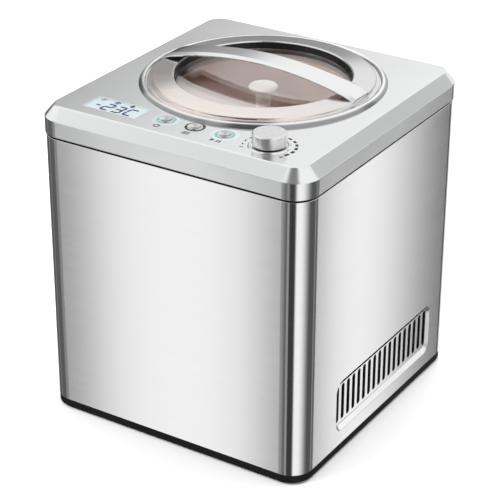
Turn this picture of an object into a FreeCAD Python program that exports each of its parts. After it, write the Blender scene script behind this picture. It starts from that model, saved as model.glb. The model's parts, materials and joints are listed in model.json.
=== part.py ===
"""Countertop compressor ice cream maker, in millimetres.

+Z is up, +X runs to the right along the control panel, +Y points to the back.
The origin is on the worktop, under the middle of the top cover.
Every piece is written to parts/NAME.step.
"""
import FreeCAD, Part
import math
import os

from FreeCAD import Vector

# ---- casing -------------------------------------------------------------------------------
COVER_WIDTH = 285.0
COVER_DEPTH = 295.0
CORNER_R = 23.0
TOP_Z = 313.5
BEVEL_INSET = 9.5
BEVEL_DROP = 11.2
COVER_SIDE = 17.2
COVER_WALL = 3.0
SEAM_GAP = 0.7
OVERHANG = 1.0
STEEL_WALL = 1.2
BASE_TOP_Z = 10.0
BASE_INSET = 1.2
TRAY_WALL = 3.0
TRAY_FLOOR = 3.0
TRAY_LIP = 14.0
FOOT_R = 10.0
FOOT_SHOW = 2.0
FOOT_INSET = 34.0
SLIP = 0.3

# ---- air vents in the two side walls ------------------------------------------------------
VENT_Y = (-82.0, 104.0)
VENT_Z = (24.0, 78.0)
VENT_DEPTH = 3.0
VENT_R = 11.0
SLOT_COUNT = 18
SLOT_PITCH = 10.13
SLOT_WIDTH = 4.9
SLOT_Z = (33.0, 71.0)
SLOT_SHIFT = 0.0

# ---- round opening, collar and lid --------------------------------------------------------
WELL_Y = 15.5
COLLAR_R = 116.0
COLLAR_RISE = 3.6
COLLAR_LEDGE_R = 109.6
COLLAR_INNER_R = 98.0
COLLAR_SKIRT = 8.0
LEDGE_RISE = 0.6
LID_GAP = 1.0
LID_RISE = 6.0
LID_BAND_RISE = 1.6
WINDOW_R = 83.5
WINDOW_T = 2.5
WINDOW_RISE = 1.0
LID_WALL = 2.4
HANDLE_RISE = 23.5
HANDLE_T = 3.4
HANDLE_END_W = 32.0
HANDLE_MID_W = 27.0
HANDLE_END_RISE = 8.6
HANDLE_EDGE = 1.0

# ---- bowl, well and cooling ---------------------------------------------------------------
BOWL_R = 80.0
BOWL_WALL = 1.5
BOWL_HEIGHT = 97.5
BOWL_LIP = 5.0
BOWL_TUBE_R = 11.0
BOWL_TUBE_BORE = 7.5
BOWL_TUBE_H = 36.0
WELL_CLEAR = 1.5
WELL_WALL = 1.5
COIL_TUBE_R = 4.0
COIL_TURNS = 6
FOAM_T = 20.0
FOAM_FLOOR = 14.0

# ---- drive --------------------------------------------------------------------------------
SHAFT_R = 5.0
RUNNING = 0.05
HEX_FLATS = 9.0
HEX_CLEAR = 0.25
HEX_LENGTH = 14.0
GEAR_MODULE = 1.5
GEAR_TEETH = 64
PINION_TEETH = 16
GEAR_T = 8.0
GEAR_BACKLASH = 0.6
MOTOR_ANGLE = 150.0
MOTOR_R = 28.0
MOTOR_H = 38.0
DECK_Z = 128.0
DECK_T = 2.0
DECK_LEG = 10.0
PADDLE_CLEAR = 2.5
PADDLE_T = 3.5
PADDLE_CAP_R = 13.8
PADDLE_STEM_R = 7.0
PADDLE_TOP_DROP = 3.8

# ---- controls on the front strip ----------------------------------------------------------
PANEL_Y = -110.6
DISPLAY_X = -76.8
DISPLAY_SIZE = (57.5, 26.5)
DISPLAY_T = 1.6
BUTTON_X = (-22.6, 8.0, 39.1)
BUTTON_NAMES = ("power", "menu", "start")
BUTTON_R = 7.4
BUTTON_GAP = 0.3
BUTTON_RING_W = 1.8
BUTTON_TRAVEL = 1.5
BUTTON_RISE = 1.0
KNOB_X = 84.5
KNOB_R = 15.25
KNOB_H = 11.0
KNOB_RING_R = 19.0
KNOB_RING_H = 1.4
KNOB_GAP = 0.8
ENCODER_SHAFT_R = 3.0
BOARD_DROP = 20.0
BOARD_HALF = 127.0
BOARD_T = 1.6

# ---- machinery in the base ----------------------------------------------------------------
COMPRESSOR_AT = (-64.0, 48.0)
COMPRESSOR_R = 46.0
COMPRESSOR_H = 96.0
MOUNT_H = 9.0
CONDENSER_X = (100.0, 122.0)
CONDENSER_Y = (-76.0, 112.0)
CONDENSER_H = 100.0
CONDENSER_FINS = 24
FAN_R = 41.0
FAN_TIP_GAP = 2.0
FAN_DEPTH = 20.0
FAN_BLADES = 7
INLET_X = 85.0
INLET_Z = 42.0
SCREW_R = 1.7

# ---- derived places -----------------------------------------------------------------------
BEVEL_Z = TOP_Z - BEVEL_DROP
SEAM_Z = BEVEL_Z - COVER_SIDE
BODY_W = COVER_WIDTH - 2 * OVERHANG
BODY_D = COVER_DEPTH - 2 * OVERHANG
BODY_R = CORNER_R - OVERHANG
FLOOR_Z = FOOT_SHOW + TRAY_FLOOR
PLATE_Z = TOP_Z - COVER_WALL
FLANGE_Z = TOP_Z - COLLAR_SKIRT
LID_R = COLLAR_LEDGE_R - LID_GAP
BOWL_TOP_Z = FLANGE_Z + 2.0
BOWL_Z = BOWL_TOP_Z - BOWL_HEIGHT
WELL_R = BOWL_R + WELL_CLEAR
WELL_FLOOR_Z = BOWL_Z - WELL_CLEAR
COIL_R = WELL_R + WELL_WALL + COIL_TUBE_R
FOAM_IN_R = COIL_R + COIL_TUBE_R + 0.5
FOAM_R = FOAM_IN_R + FOAM_T
FOAM_Z = WELL_FLOOR_Z - WELL_WALL - FOAM_FLOOR
TUBE_TOP_Z = BOWL_Z + BOWL_TUBE_H
GEAR_Z = FOAM_Z - 4.0 - GEAR_T
GEAR_PITCH_R = GEAR_MODULE * GEAR_TEETH / 2
PINION_PITCH_R = GEAR_MODULE * PINION_TEETH / 2
CENTRES = GEAR_PITCH_R + PINION_PITCH_R
MOTOR_X = CENTRES * math.cos(math.radians(MOTOR_ANGLE))
MOTOR_Y = WELL_Y + CENTRES * math.sin(math.radians(MOTOR_ANGLE))
DECK_TOP_Z = DECK_Z + DECK_T
BOARD_Z = TOP_Z - BOARD_DROP
UP = Vector(0, 0, 1)


# ---- shape helpers ------------------------------------------------------------------------
def block(x0, x1, y0, y1, z0, z1):
    return Part.makeBox(x1 - x0, y1 - y0, z1 - z0, Vector(x0, y0, z0))


def rod(r, z0, z1, x=0.0, y=0.0):
    return Part.makeCylinder(r, z1 - z0, Vector(x, y, z0), UP)


def tube(r_out, r_in, z0, z1, x=0.0, y=0.0):
    return rod(r_out, z0, z1, x, y).cut(rod(r_in, z0 - 1, z1 + 1, x, y))


def rod_along(axis, r, length, start):
    return Part.makeCylinder(r, length, start, axis)


def polygon(points):
    vectors = [Vector(*p) for p in points]
    return Part.makePolygon(vectors + vectors[:1])


def turned(points, x=0.0, y=0.0):
    """Revolve an outline of (radius, height) points about a vertical axis at x, y."""
    outline = polygon([(x + r, y, z) for r, z in points])
    return Part.Face(outline).revolve(Vector(x, y, 0), UP, 360)


def rounded_rectangle(width, depth, radius, z, x=0.0, y=0.0):
    """Closed wire of four straight sides and four quarter circles."""
    a, b, k = width / 2 - radius, depth / 2 - radius, radius * math.sqrt(0.5)
    edges = []
    for sx, sy, nx, ny in ((1, -1, 1, 1), (1, 1, -1, 1), (-1, 1, -1, -1), (-1, -1, 1, -1)):
        centre = Vector(x + sx * a, y + sy * b, z)
        first = centre + (Vector(0, sy * radius, 0) if sx * sy < 0 else Vector(sx * radius, 0, 0))
        last = centre + (Vector(sx * radius, 0, 0) if sx * sy < 0 else Vector(0, sy * radius, 0))
        middle = centre + Vector(sx * k, sy * k, 0)
        edges.append(Part.Arc(first, middle, last).toShape())
        step = Vector(0, ny * 2 * b, 0) if sx * sy < 0 else Vector(nx * 2 * a, 0, 0)
        edges.append(Part.LineSegment(last, last + step).toShape())
    return Part.Wire(edges)


def slab(width, depth, radius, z0, z1, x=0.0, y=0.0):
    face = Part.Face(rounded_rectangle(width, depth, radius, z0, x, y))
    return face.extrude(Vector(0, 0, z1 - z0))


def tapered(size0, size1, z0, z1):
    """Solid between two rounded rectangles given as (width, depth, corner radius)."""
    return Part.makeLoft(
        [rounded_rectangle(*size0, z0), rounded_rectangle(*size1, z1)], True, True
    )


def side_slot(sx, y, z0, z1, width, depth_in):
    """Upright slot with round ends, cut through a side wall from outside."""
    x_far = BODY_W / 2 + 5
    half = width / 2
    start = Vector(sx * x_far, y, 0)
    axis = Vector(-sx, 0, 0)
    length = 5 + depth_in
    x_low, x_high = sorted((sx * x_far, sx * (x_far - length)))
    body = block(x_low, x_high, y - half, y + half, z0 + half, z1 - half)
    low = rod_along(axis, half, length, start + Vector(0, 0, z0 + half))
    high = rod_along(axis, half, length, start + Vector(0, 0, z1 - half))
    return body.fuse([low, high])


def side_panel(sx, grow, depth_out, depth_in):
    """Rounded block standing across a side wall at the vent."""
    width = VENT_Y[1] - VENT_Y[0] + 2 * grow
    height = VENT_Z[1] - VENT_Z[0] + 2 * grow
    shape = slab(height, width, VENT_R + grow, 0, depth_out + depth_in)
    shape.rotate(Vector(0, 0, 0), Vector(0, 1, 0), 90)
    x_low = BODY_W / 2 - depth_in if sx > 0 else -BODY_W / 2 - depth_out
    shape.translate(Vector(x_low, sum(VENT_Y) / 2, sum(VENT_Z) / 2))
    return shape


# ---- casing -------------------------------------------------------------------------------
def outer_housing():
    """Wrapped steel sheet with a pressed-in vent panel in each side wall."""
    outside = slab(BODY_W, BODY_D, BODY_R, BASE_TOP_Z, SEAM_Z - SEAM_GAP)
    inside = slab(BODY_W - 2 * STEEL_WALL, BODY_D - 2 * STEEL_WALL, BODY_R - STEEL_WALL, 0, TOP_Z)
    wrap = outside.cut(inside)
    for sx in (-1, 1):
        pan = side_panel(sx, STEEL_WALL, 0, VENT_DEPTH + STEEL_WALL)
        pocket = side_panel(sx, 0, 5, VENT_DEPTH)
        wrap = wrap.fuse(pan).cut(pocket)
        middle = sum(VENT_Y) / 2 + SLOT_SHIFT
        slots = [
            side_slot(sx, middle + (i - (SLOT_COUNT - 1) / 2) * SLOT_PITCH, *SLOT_Z, SLOT_WIDTH,
                      VENT_DEPTH + 2 * STEEL_WALL)
            for i in range(SLOT_COUNT)
        ]
        wrap = wrap.cut(Part.makeCompound(slots))
    return wrap.cut(inlet_hole(0.2)).removeSplitter()


def top_cover():
    """Moulded lid of the casing: short side, bevel and flat top with the control openings."""
    full = (COVER_WIDTH, COVER_DEPTH, CORNER_R)
    face = (COVER_WIDTH - 2 * BEVEL_INSET, COVER_DEPTH - 2 * BEVEL_INSET, CORNER_R - BEVEL_INSET)
    outside = slab(*full, SEAM_Z, BEVEL_Z).fuse(tapered(full, face, BEVEL_Z, TOP_Z))
    hollow_full = tuple(v - 2 * COVER_WALL for v in full[:2]) + (CORNER_R - COVER_WALL,)
    hollow_face = tuple(v - 2 * COVER_WALL for v in face[:2]) + (face[2] - COVER_WALL,)
    hollow = slab(*hollow_full, SEAM_Z - 1, BEVEL_Z).fuse(
        tapered(hollow_full, hollow_face, BEVEL_Z, PLATE_Z)
    )
    cover = outside.cut(hollow)
    cover = cover.fuse(cover_lip()).fuse(board_bosses())
    cuts = [
        rod(COLLAR_LEDGE_R - 2, PLATE_Z - 1, TOP_Z + 1, 0, WELL_Y),
        display_pocket(SLIP),
        rod(ENCODER_SHAFT_R + 1.0, PLATE_Z - 1, TOP_Z + 1, KNOB_X, PANEL_Y),
    ]
    for x in BUTTON_X:
        cuts.append(rod(BUTTON_R + BUTTON_GAP + BUTTON_RING_W, PLATE_Z - 1, TOP_Z + 1, x, PANEL_Y))
    return cover.cut(Part.makeCompound(cuts)).removeSplitter()


def cover_lip():
    """Rib that drops inside the steel wrap and locates the cover."""
    gap = STEEL_WALL + SLIP
    outer = slab(BODY_W - 2 * gap, BODY_D - 2 * gap, BODY_R - gap, SEAM_Z - 6, BEVEL_Z - 4)
    gap += 2.0
    inner = slab(BODY_W - 2 * gap, BODY_D - 2 * gap, BODY_R - gap, SEAM_Z - 7, BEVEL_Z)
    return outer.cut(inner)


def boss_places():
    """The four screws of the control board."""
    reach = BOARD_HALF - 6.0
    return [(x, y) for x in (-reach, reach) for y in (PANEL_Y - 16.0, PANEL_Y + 8.0)]


def board_bosses():
    shapes = [tube(3.6, SCREW_R, BOARD_Z + BOARD_T, PLATE_Z, x, y) for x, y in boss_places()]
    return Part.makeCompound(shapes)


def display_pocket(gap):
    width, depth = DISPLAY_SIZE
    return slab(width + 2 * gap, depth + 2 * gap, 1.5, PLATE_Z - 1, TOP_Z + 1, DISPLAY_X, PANEL_Y)


def trim_collar():
    """Raised ring round the opening, with the ledge that the lid sits in."""
    top = TOP_Z + COLLAR_RISE
    ledge = TOP_Z + LEDGE_RISE
    r_in = COLLAR_LEDGE_R - 2 - SLIP
    return turned(
        [(COLLAR_R, TOP_Z), (COLLAR_R - 2.0, top - 0.9), (COLLAR_R - 3.0, top - 0.2),
         (COLLAR_R - 4.0, top), (COLLAR_LEDGE_R + 1.2, top - 0.2), (COLLAR_LEDGE_R + 0.3, top - 0.8),
         (COLLAR_LEDGE_R, top - 1.6), (COLLAR_LEDGE_R, ledge), (COLLAR_INNER_R, ledge),
         (COLLAR_INNER_R, FLANGE_Z), (r_in, FLANGE_Z), (r_in, TOP_Z)],
        0, WELL_Y,
    )


def base_tray():
    """Black moulded base: floor, low outer wall and the lip inside the steel wrap."""
    width, depth, radius = BODY_W - 2 * BASE_INSET, BODY_D - 2 * BASE_INSET, BODY_R - BASE_INSET
    bottom = (width - 5.0, depth - 5.0, radius - 2.5)
    body = tapered(bottom, (width, depth, radius), FOOT_SHOW, FOOT_SHOW + 2.5)
    body = body.fuse(slab(width, depth, radius, FOOT_SHOW + 2.5, BASE_TOP_Z))
    gap = STEEL_WALL + SLIP
    lip = slab(BODY_W - 2 * gap, BODY_D - 2 * gap, BODY_R - gap, BASE_TOP_Z, BASE_TOP_Z + TRAY_LIP)
    gap += TRAY_WALL
    hollow = slab(BODY_W - 2 * gap, BODY_D - 2 * gap, BODY_R - gap, FLOOR_Z, TOP_Z)
    tray = body.fuse(lip).cut(hollow)
    for sx in (-1, 1):
        x_in = BODY_W / 2 - STEEL_WALL - VENT_DEPTH
        y0, y1 = VENT_Y[0] - 4, VENT_Y[1] + 4
        x_low, x_high = sorted((sx * (x_in - STEEL_WALL - SLIP), sx * BODY_W / 2))
        tray = tray.cut(block(x_low, x_high, y0, y1, VENT_Z[0] - 4, TOP_Z))
    for x, y in foot_places():
        tray = tray.cut(rod(3.0, 0, FLOOR_Z + 1, x, y))
    return tray.removeSplitter()


def foot_places():
    a, b = BODY_W / 2 - FOOT_INSET, BODY_D / 2 - FOOT_INSET
    return [(sx * a, sy * b) for sy in (-1, 1) for sx in (-1, 1)]


def rubber_foot(x, y):
    pad = turned(
        [(0, 0), (FOOT_R - 1, 0), (FOOT_R, 1.0), (FOOT_R, FOOT_SHOW), (0, FOOT_SHOW)], x, y
    )
    plug = rod(3.0, FOOT_SHOW, FLOOR_Z, x, y)
    head = rod(4.5, FLOOR_Z, FLOOR_Z + 2.0, x, y)
    return pad.fuse([plug, head]).removeSplitter()


def inlet_hole(gap):
    width, height = 48.0 + 2 * gap, 26.0 + 2 * gap
    y = BODY_D / 2
    return block(INLET_X - width / 2, INLET_X + width / 2, y - 6, y + 6,
                 INLET_Z - height / 2, INLET_Z + height / 2)


def mains_inlet():
    """Recessed appliance inlet in the back wall, with three contact blades."""
    y = BODY_D / 2
    body = block(INLET_X - 24, INLET_X + 24, y - 24, y, INLET_Z - 13, INLET_Z + 13)
    body = body.fuse(block(INLET_X - 27, INLET_X + 27, y, y + OVERHANG, INLET_Z - 16, INLET_Z + 16))
    socket = block(INLET_X - 12, INLET_X + 12, y - 20, y + 2, INLET_Z - 8.5, INLET_Z + 8.5)
    shape = body.cut(socket)
    for dx, dz in ((-7.0, -1.5), (0.0, 2.5), (7.0, -1.5)):
        x, z = INLET_X + dx, INLET_Z + dz
        shape = shape.fuse(block(x - 1, x + 1, y - 21, y - 7, z - 2, z + 2))
    return shape.removeSplitter()


# ---- lid ----------------------------------------------------------------------------------
def lid_ring():
    """Pressed ring: flange, upright wall, wide sloping band and inner wall to the window."""
    z = TOP_Z
    inner_top = z + LID_RISE + LID_BAND_RISE
    window_top = z + WINDOW_RISE
    inner_low_r = WINDOW_R - 2.8
    ring = turned(
        [(LID_R, z + LEDGE_RISE + SLIP), (LID_R, z + 2.0), (LID_R - 0.6, z + 2.4),
         (LID_R - 3.2, z + 2.6), (LID_R - 3.8, z + LID_RISE - 1.0), (LID_R - 4.6, z + LID_RISE - 0.2),
         (LID_R - 5.6, z + LID_RISE), (WINDOW_R + 1.0, inner_top), (WINDOW_R - 0.4, inner_top - 0.2),
         (WINDOW_R - 1.2, inner_top - 1.0), (inner_low_r, window_top), (WINDOW_R, window_top),
         (WINDOW_R + 1.6, inner_top - LID_WALL), (LID_R - 7.0, z + LID_RISE - LID_WALL),
         (LID_R - 7.0, z + LEDGE_RISE + SLIP)],
        0, WELL_Y,
    )
    for x, y in handle_screw_places():
        ring = ring.cut(rod(SCREW_R, z, z + 20, x, y))
    return ring


def lid_window():
    z = TOP_Z + WINDOW_RISE
    return turned([(0, z - WINDOW_T), (WINDOW_R, z - WINDOW_T), (WINDOW_R, z), (0, z)], 0, WELL_Y)


def lid_seal():
    """Silicone ring under the lid's band, resting on the collar's ledge."""
    low = TOP_Z + LEDGE_RISE + 0.1
    return turned(
        [(LID_R - 7.1, low), (LID_R - 7.1, TOP_Z + 3.3), (LID_R - 9.5, TOP_Z + 3.3),
         (LID_R - 10.5, low)],
        0, WELL_Y,
    )


def handle_screw_places():
    reach = (LID_R - 5.6 + WINDOW_R) / 2
    return [(sx * reach, WELL_Y + dy) for sx in (-1, 1) for dy in (-8.0, 8.0)]


def lid_handle():
    """Arched bridge across the lid, waisted in the middle, seated on the ring at both ends."""
    reach = LID_R - 4.4
    rise = HANDLE_RISE - HANDLE_END_RISE
    bend_r = (reach ** 2 + rise ** 2) / (2 * rise)
    centre = Vector(0, 0, TOP_Z + HANDLE_RISE - bend_r)
    across = Vector(0, 1, 0)
    width = 2 * HANDLE_END_W
    start = centre + Vector(0, WELL_Y - HANDLE_END_W, 0)
    band = Part.makeCylinder(bend_r, width, start, across)
    band = band.cut(Part.makeCylinder(bend_r - HANDLE_T, width + 2, start - across, across))
    end, mid = HANDLE_END_W / 2, HANDLE_MID_W / 2
    side_r = (reach ** 2 + (end - mid) ** 2) / (2 * (end - mid))
    low, high = TOP_Z, TOP_Z + HANDLE_RISE + 5
    plan = rod(reach, low, high, 0, WELL_Y)
    for sy in (-1, 1):
        plan = plan.cut(rod(side_r, low - 1, high + 1, 0, WELL_Y + sy * (mid + side_r)))
    plan = max(plan.Solids, key=lambda s: s.BoundBox.XLength)
    handle = largest(band.common(plan))
    top_edges = [e for e in handle.Edges
                 if e.Length > 0.5 * reach and abs(e.BoundBox.ZMax - TOP_Z - HANDLE_RISE) < 0.1]
    handle = handle.makeChamfer(HANDLE_EDGE, top_edges)
    handle = handle.cut(lid_ring())
    for x, y in handle_screw_places():
        handle = handle.cut(rod(SCREW_R, TOP_Z, TOP_Z + LID_RISE + 0.9, x, y))
    return largest(handle)


def largest(shape):
    return max(shape.Solids, key=lambda s: s.Volume)


def handle_screws():
    z = TOP_Z + LID_RISE - LID_WALL - 1.0
    shapes = []
    for x, y in handle_screw_places():
        screw = rod(SCREW_R, z, TOP_Z + LID_RISE + 0.9, x, y)
        head = rod(3.0, z - 1.4, z, x, y)
        shapes.append(screw.fuse(head).removeSplitter())
    return Part.makeCompound(shapes)


# ---- controls -----------------------------------------------------------------------------
def display_lens():
    width, depth = DISPLAY_SIZE
    return slab(width, depth, 1.2, TOP_Z - 0.3 - DISPLAY_T, TOP_Z - 0.3, DISPLAY_X, PANEL_Y)


def display_module():
    width, depth = DISPLAY_SIZE
    glass = slab(width + 5, depth + 4, 1.5, PLATE_Z - 6.0, PLATE_Z, DISPLAY_X, PANEL_Y)
    face = slab(width - 1, depth - 1, 1.0, PLATE_Z, TOP_Z - 0.3 - DISPLAY_T, DISPLAY_X, PANEL_Y)
    pins = block(DISPLAY_X - 25, DISPLAY_X + 25, PANEL_Y - 12, PANEL_Y - 10,
                 BOARD_Z + BOARD_T, PLATE_Z - 6.0)
    return glass.fuse([face, pins]).removeSplitter()


def button_ring(x):
    inner = BUTTON_R + BUTTON_GAP
    outer = inner + BUTTON_RING_W - 0.05
    return turned(
        [(outer, PLATE_Z), (outer, TOP_Z), (outer - 0.4, TOP_Z + 0.4), (inner + 0.3, TOP_Z + 0.4),
         (inner, TOP_Z + 0.1), (inner, PLATE_Z)],
        x, PANEL_Y,
    )


def push_button(x):
    """Dished metal cap on a stem that reaches down to its switch."""
    top = TOP_Z + BUTTON_RISE
    low = BOARD_Z + BOARD_T + 4.0 + BUTTON_TRAVEL + 0.4
    cap = turned(
        [(0, PLATE_Z + 1.0), (BUTTON_R, PLATE_Z + 1.0), (BUTTON_R, top - 0.7), (BUTTON_R - 0.6, top),
         (BUTTON_R - 1.6, top - 0.1), (BUTTON_R / 2, top - 0.5), (0, top - 0.6)],
        x, PANEL_Y,
    )
    collar = rod(BUTTON_R + 1.4, PLATE_Z - 1.5, PLATE_Z - 0.1, x, PANEL_Y)
    neck = rod(BUTTON_R - 1.5, PLATE_Z - 0.1, PLATE_Z + 1.0, x, PANEL_Y)
    stem = rod(2.0, low, PLATE_Z - 1.5, x, PANEL_Y)
    return cap.fuse([collar, neck, stem]).removeSplitter()


def tact_switches():
    z = BOARD_Z + BOARD_T
    shapes = []
    for x in BUTTON_X:
        body = block(x - 3, x + 3, PANEL_Y - 3, PANEL_Y + 3, z, z + 3.2)
        shapes.append(body.fuse(rod(1.7, z + 3.2, z + 4.0, x, PANEL_Y)).removeSplitter())
    return Part.makeCompound(shapes)


def knob_base_ring():
    z = TOP_Z
    return turned(
        [(KNOB_RING_R, z), (KNOB_RING_R, z + 0.5), (KNOB_RING_R - 1.0, z + KNOB_RING_H),
         (KNOB_RING_R - 2.0, z + KNOB_RING_H), (KNOB_RING_R - 3.0, z + 0.7),
         (ENCODER_SHAFT_R + 3.0, z + 0.7), (ENCODER_SHAFT_R + 3.0, z)],
        KNOB_X, PANEL_Y,
    )


def knob():
    """Turned cylinder with a chamfered top and a blind bore for the encoder's shaft."""
    low = TOP_Z + KNOB_RING_H + KNOB_GAP
    top = low + KNOB_H
    body = turned(
        [(0, low), (KNOB_R, low), (KNOB_R, top - 1.0), (KNOB_R - 1.0, top), (0, top)],
        KNOB_X, PANEL_Y,
    )
    return body.cut(rod(ENCODER_SHAFT_R, low - 1, low + 8.0, KNOB_X, PANEL_Y))


def encoder_shaft():
    low = TOP_Z + KNOB_RING_H + KNOB_GAP
    return rod(ENCODER_SHAFT_R, BOARD_Z + BOARD_T + 3.0, low + 8.0, KNOB_X, PANEL_Y)


def encoder_body():
    z = BOARD_Z + BOARD_T
    body = block(KNOB_X - 7, KNOB_X + 7, PANEL_Y - 7, PANEL_Y + 7, z, z + 7.0)
    neck = rod(5.0, z + 7.0, PLATE_Z - 0.5, KNOB_X, PANEL_Y)
    bore = rod(ENCODER_SHAFT_R + RUNNING, z + 2.9, TOP_Z, KNOB_X, PANEL_Y)
    return body.fuse(neck).cut(bore).removeSplitter()


def control_board():
    y0, y1 = PANEL_Y - 20.0, PANEL_Y + 12.0
    board = block(-BOARD_HALF, BOARD_HALF, y0, y1, BOARD_Z, BOARD_Z + BOARD_T)
    chip = block(-16.0, -2.0, PANEL_Y - 15.0, PANEL_Y - 5.0, BOARD_Z - 2.0, BOARD_Z)
    plug = block(55.0, 68.0, PANEL_Y - 14.0, PANEL_Y - 6.0, BOARD_Z - 8.0, BOARD_Z)
    board = board.fuse([chip, plug])
    for x, y in boss_places():
        board = board.cut(rod(SCREW_R, BOARD_Z - 1, BOARD_Z + 5, x, y))
    return board.removeSplitter()


def control_board_screws():
    shapes = []
    for x, y in boss_places():
        shank = rod(SCREW_R, BOARD_Z, BOARD_Z + 10.0, x, y)
        shapes.append(shank.fuse(rod(3.2, BOARD_Z - 2.0, BOARD_Z, x, y)).removeSplitter())
    return Part.makeCompound(shapes)


# ---- bowl and cooling ---------------------------------------------------------------------
def bowl():
    """Removable metal bowl with a rolled lip and a raised tube round the drive shaft."""
    r_in, floor = BOWL_R - BOWL_WALL, BOWL_Z + BOWL_WALL
    return turned(
        [(BOWL_TUBE_BORE, BOWL_Z), (BOWL_R - 4, BOWL_Z), (BOWL_R, BOWL_Z + 4),
         (BOWL_R, FLANGE_Z + 0.1), (BOWL_R + BOWL_LIP, FLANGE_Z + 0.1),
         (BOWL_R + BOWL_LIP, BOWL_TOP_Z - 0.6), (BOWL_R + BOWL_LIP - 0.8, BOWL_TOP_Z),
         (r_in + 0.8, BOWL_TOP_Z), (r_in, BOWL_TOP_Z - 0.8), (r_in, floor + 4), (r_in - 4, floor),
         (BOWL_TUBE_R + 1.5, floor), (BOWL_TUBE_R, floor + 1.5), (BOWL_TUBE_R, TUBE_TOP_Z),
         (BOWL_TUBE_BORE, TUBE_TOP_Z)],
        0, WELL_Y,
    )


def cooling_well():
    """Fixed cup that the bowl stands in; its flange hangs from the collar."""
    r_out, floor = WELL_R + WELL_WALL, WELL_FLOOR_Z
    return turned(
        [(SHAFT_R + 7.0, floor), (WELL_R, floor), (WELL_R, FLANGE_Z), (COLLAR_LEDGE_R - 3, FLANGE_Z),
         (COLLAR_LEDGE_R - 3, FLANGE_Z - WELL_WALL), (r_out, FLANGE_Z - WELL_WALL),
         (r_out, floor - WELL_WALL), (SHAFT_R + 7.0, floor - WELL_WALL)],
        0, WELL_Y,
    )


def evaporator_coil():
    """Refrigerant tube in level turns round the well, joined by one riser."""
    low = WELL_FLOOR_Z + COIL_TUBE_R + 4
    pitch = (FLANGE_Z - 16 - low) / (COIL_TURNS - 1)
    coil = rod(COIL_TUBE_R - 0.4, low, low + pitch * (COIL_TURNS - 1), COIL_R, WELL_Y)
    for i in range(COIL_TURNS):
        ring = Part.makeTorus(COIL_R, COIL_TUBE_R, Vector(0, WELL_Y, low + i * pitch), UP)
        coil = coil.fuse(ring)
    return coil


def insulation():
    """Foam jacket round the coil and under the well."""
    top = FLANGE_Z - WELL_WALL - 1.0
    return turned(
        [(SHAFT_R + 12.0, FOAM_Z), (FOAM_R, FOAM_Z), (FOAM_R, top), (FOAM_IN_R, top),
         (FOAM_IN_R, WELL_FLOOR_Z - WELL_WALL), (SHAFT_R + 12.0, WELL_FLOOR_Z - WELL_WALL)],
        0, WELL_Y,
    )


# ---- drive --------------------------------------------------------------------------------
def hexagon(flats, z0, z1, x, y):
    r = flats / math.sqrt(3)
    points = [(x + r * math.cos(math.radians(60 * i)), y + r * math.sin(math.radians(60 * i)), z0)
              for i in range(6)]
    return Part.Face(polygon(points)).extrude(Vector(0, 0, z1 - z0))


def drive_shaft():
    low = DECK_TOP_Z + 4.0
    hex_low = TUBE_TOP_Z
    shaft = rod(SHAFT_R, low, hex_low, 0, WELL_Y)
    return shaft.fuse(hexagon(HEX_FLATS, hex_low, hex_low + HEX_LENGTH, 0, WELL_Y)).removeSplitter()


def gear(teeth, bore, phase, x, y):
    """Spur gear with straight-sided teeth, thinned by the backlash."""
    pitch_r = GEAR_MODULE * teeth / 2
    root_r = pitch_r - 1.25 * GEAR_MODULE
    tip_r = pitch_r + 0.8 * GEAR_MODULE
    half_pitch = (math.pi * GEAR_MODULE / 2 - GEAR_BACKLASH) / 2 / pitch_r
    slope = 0.8 * GEAR_MODULE * math.tan(math.radians(20)) / pitch_r
    points = []
    for i in range(teeth):
        a = math.radians(phase) + 2 * math.pi * i / teeth
        for offset, r in ((-half_pitch - 1.5 * slope, root_r), (-half_pitch + slope, tip_r),
                          (half_pitch - slope, tip_r), (half_pitch + 1.5 * slope, root_r)):
            points.append((x + r * math.cos(a + offset), y + r * math.sin(a + offset), GEAR_Z))
    wheel = Part.Face(polygon(points)).extrude(Vector(0, 0, GEAR_T))
    return wheel.cut(rod(bore, GEAR_Z - 1, GEAR_Z + GEAR_T + 1, x, y))


def drive_gear():
    wheel = gear(GEAR_TEETH, SHAFT_R, MOTOR_ANGLE, 0, WELL_Y)
    for i in range(5):
        a = math.radians(72 * i)
        wheel = wheel.cut(rod(9.0, GEAR_Z - 1, GEAR_Z + GEAR_T + 1, 27 * math.cos(a), WELL_Y + 27 * math.sin(a)))
    return wheel


def motor_pinion():
    return gear(PINION_TEETH, 3.0, MOTOR_ANGLE + 180 + 180 / PINION_TEETH, MOTOR_X, MOTOR_Y)


def motor_shaft():
    return rod(3.0, DECK_TOP_Z + MOTOR_H - 10, GEAR_Z + GEAR_T + 1.0, MOTOR_X, MOTOR_Y)


def drive_motor():
    low, top = DECK_TOP_Z, DECK_TOP_Z + MOTOR_H
    body = turned(
        [(0, low), (MOTOR_R, low), (MOTOR_R, top - 3), (MOTOR_R - 3, top), (0, top)], MOTOR_X, MOTOR_Y
    )
    nose = rod(9.0, top, top + 3.0, MOTOR_X, MOTOR_Y)
    bore = rod(3.0 + RUNNING, top - 11.0, top + 4.0, MOTOR_X, MOTOR_Y)
    return body.fuse(nose).cut(bore).cut(motor_screws()).removeSplitter()


def motor_screws():
    shapes = []
    for sx in (-1, 1):
        x = MOTOR_X + sx * (MOTOR_R - 6)
        shapes.append(rod(SCREW_R, DECK_Z, DECK_TOP_Z + 8, x, MOTOR_Y).fuse(
            rod(3.0, DECK_Z - 2.0, DECK_Z, x, MOTOR_Y)).removeSplitter())
    return Part.makeCompound(shapes)


def deck_legs():
    a, b = BODY_W / 2 - 16.0, BODY_D / 2 - 24.0
    return [(sx * a, sy * b) for sx in (-1, 1) for sy in (-1, 1)]


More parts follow.
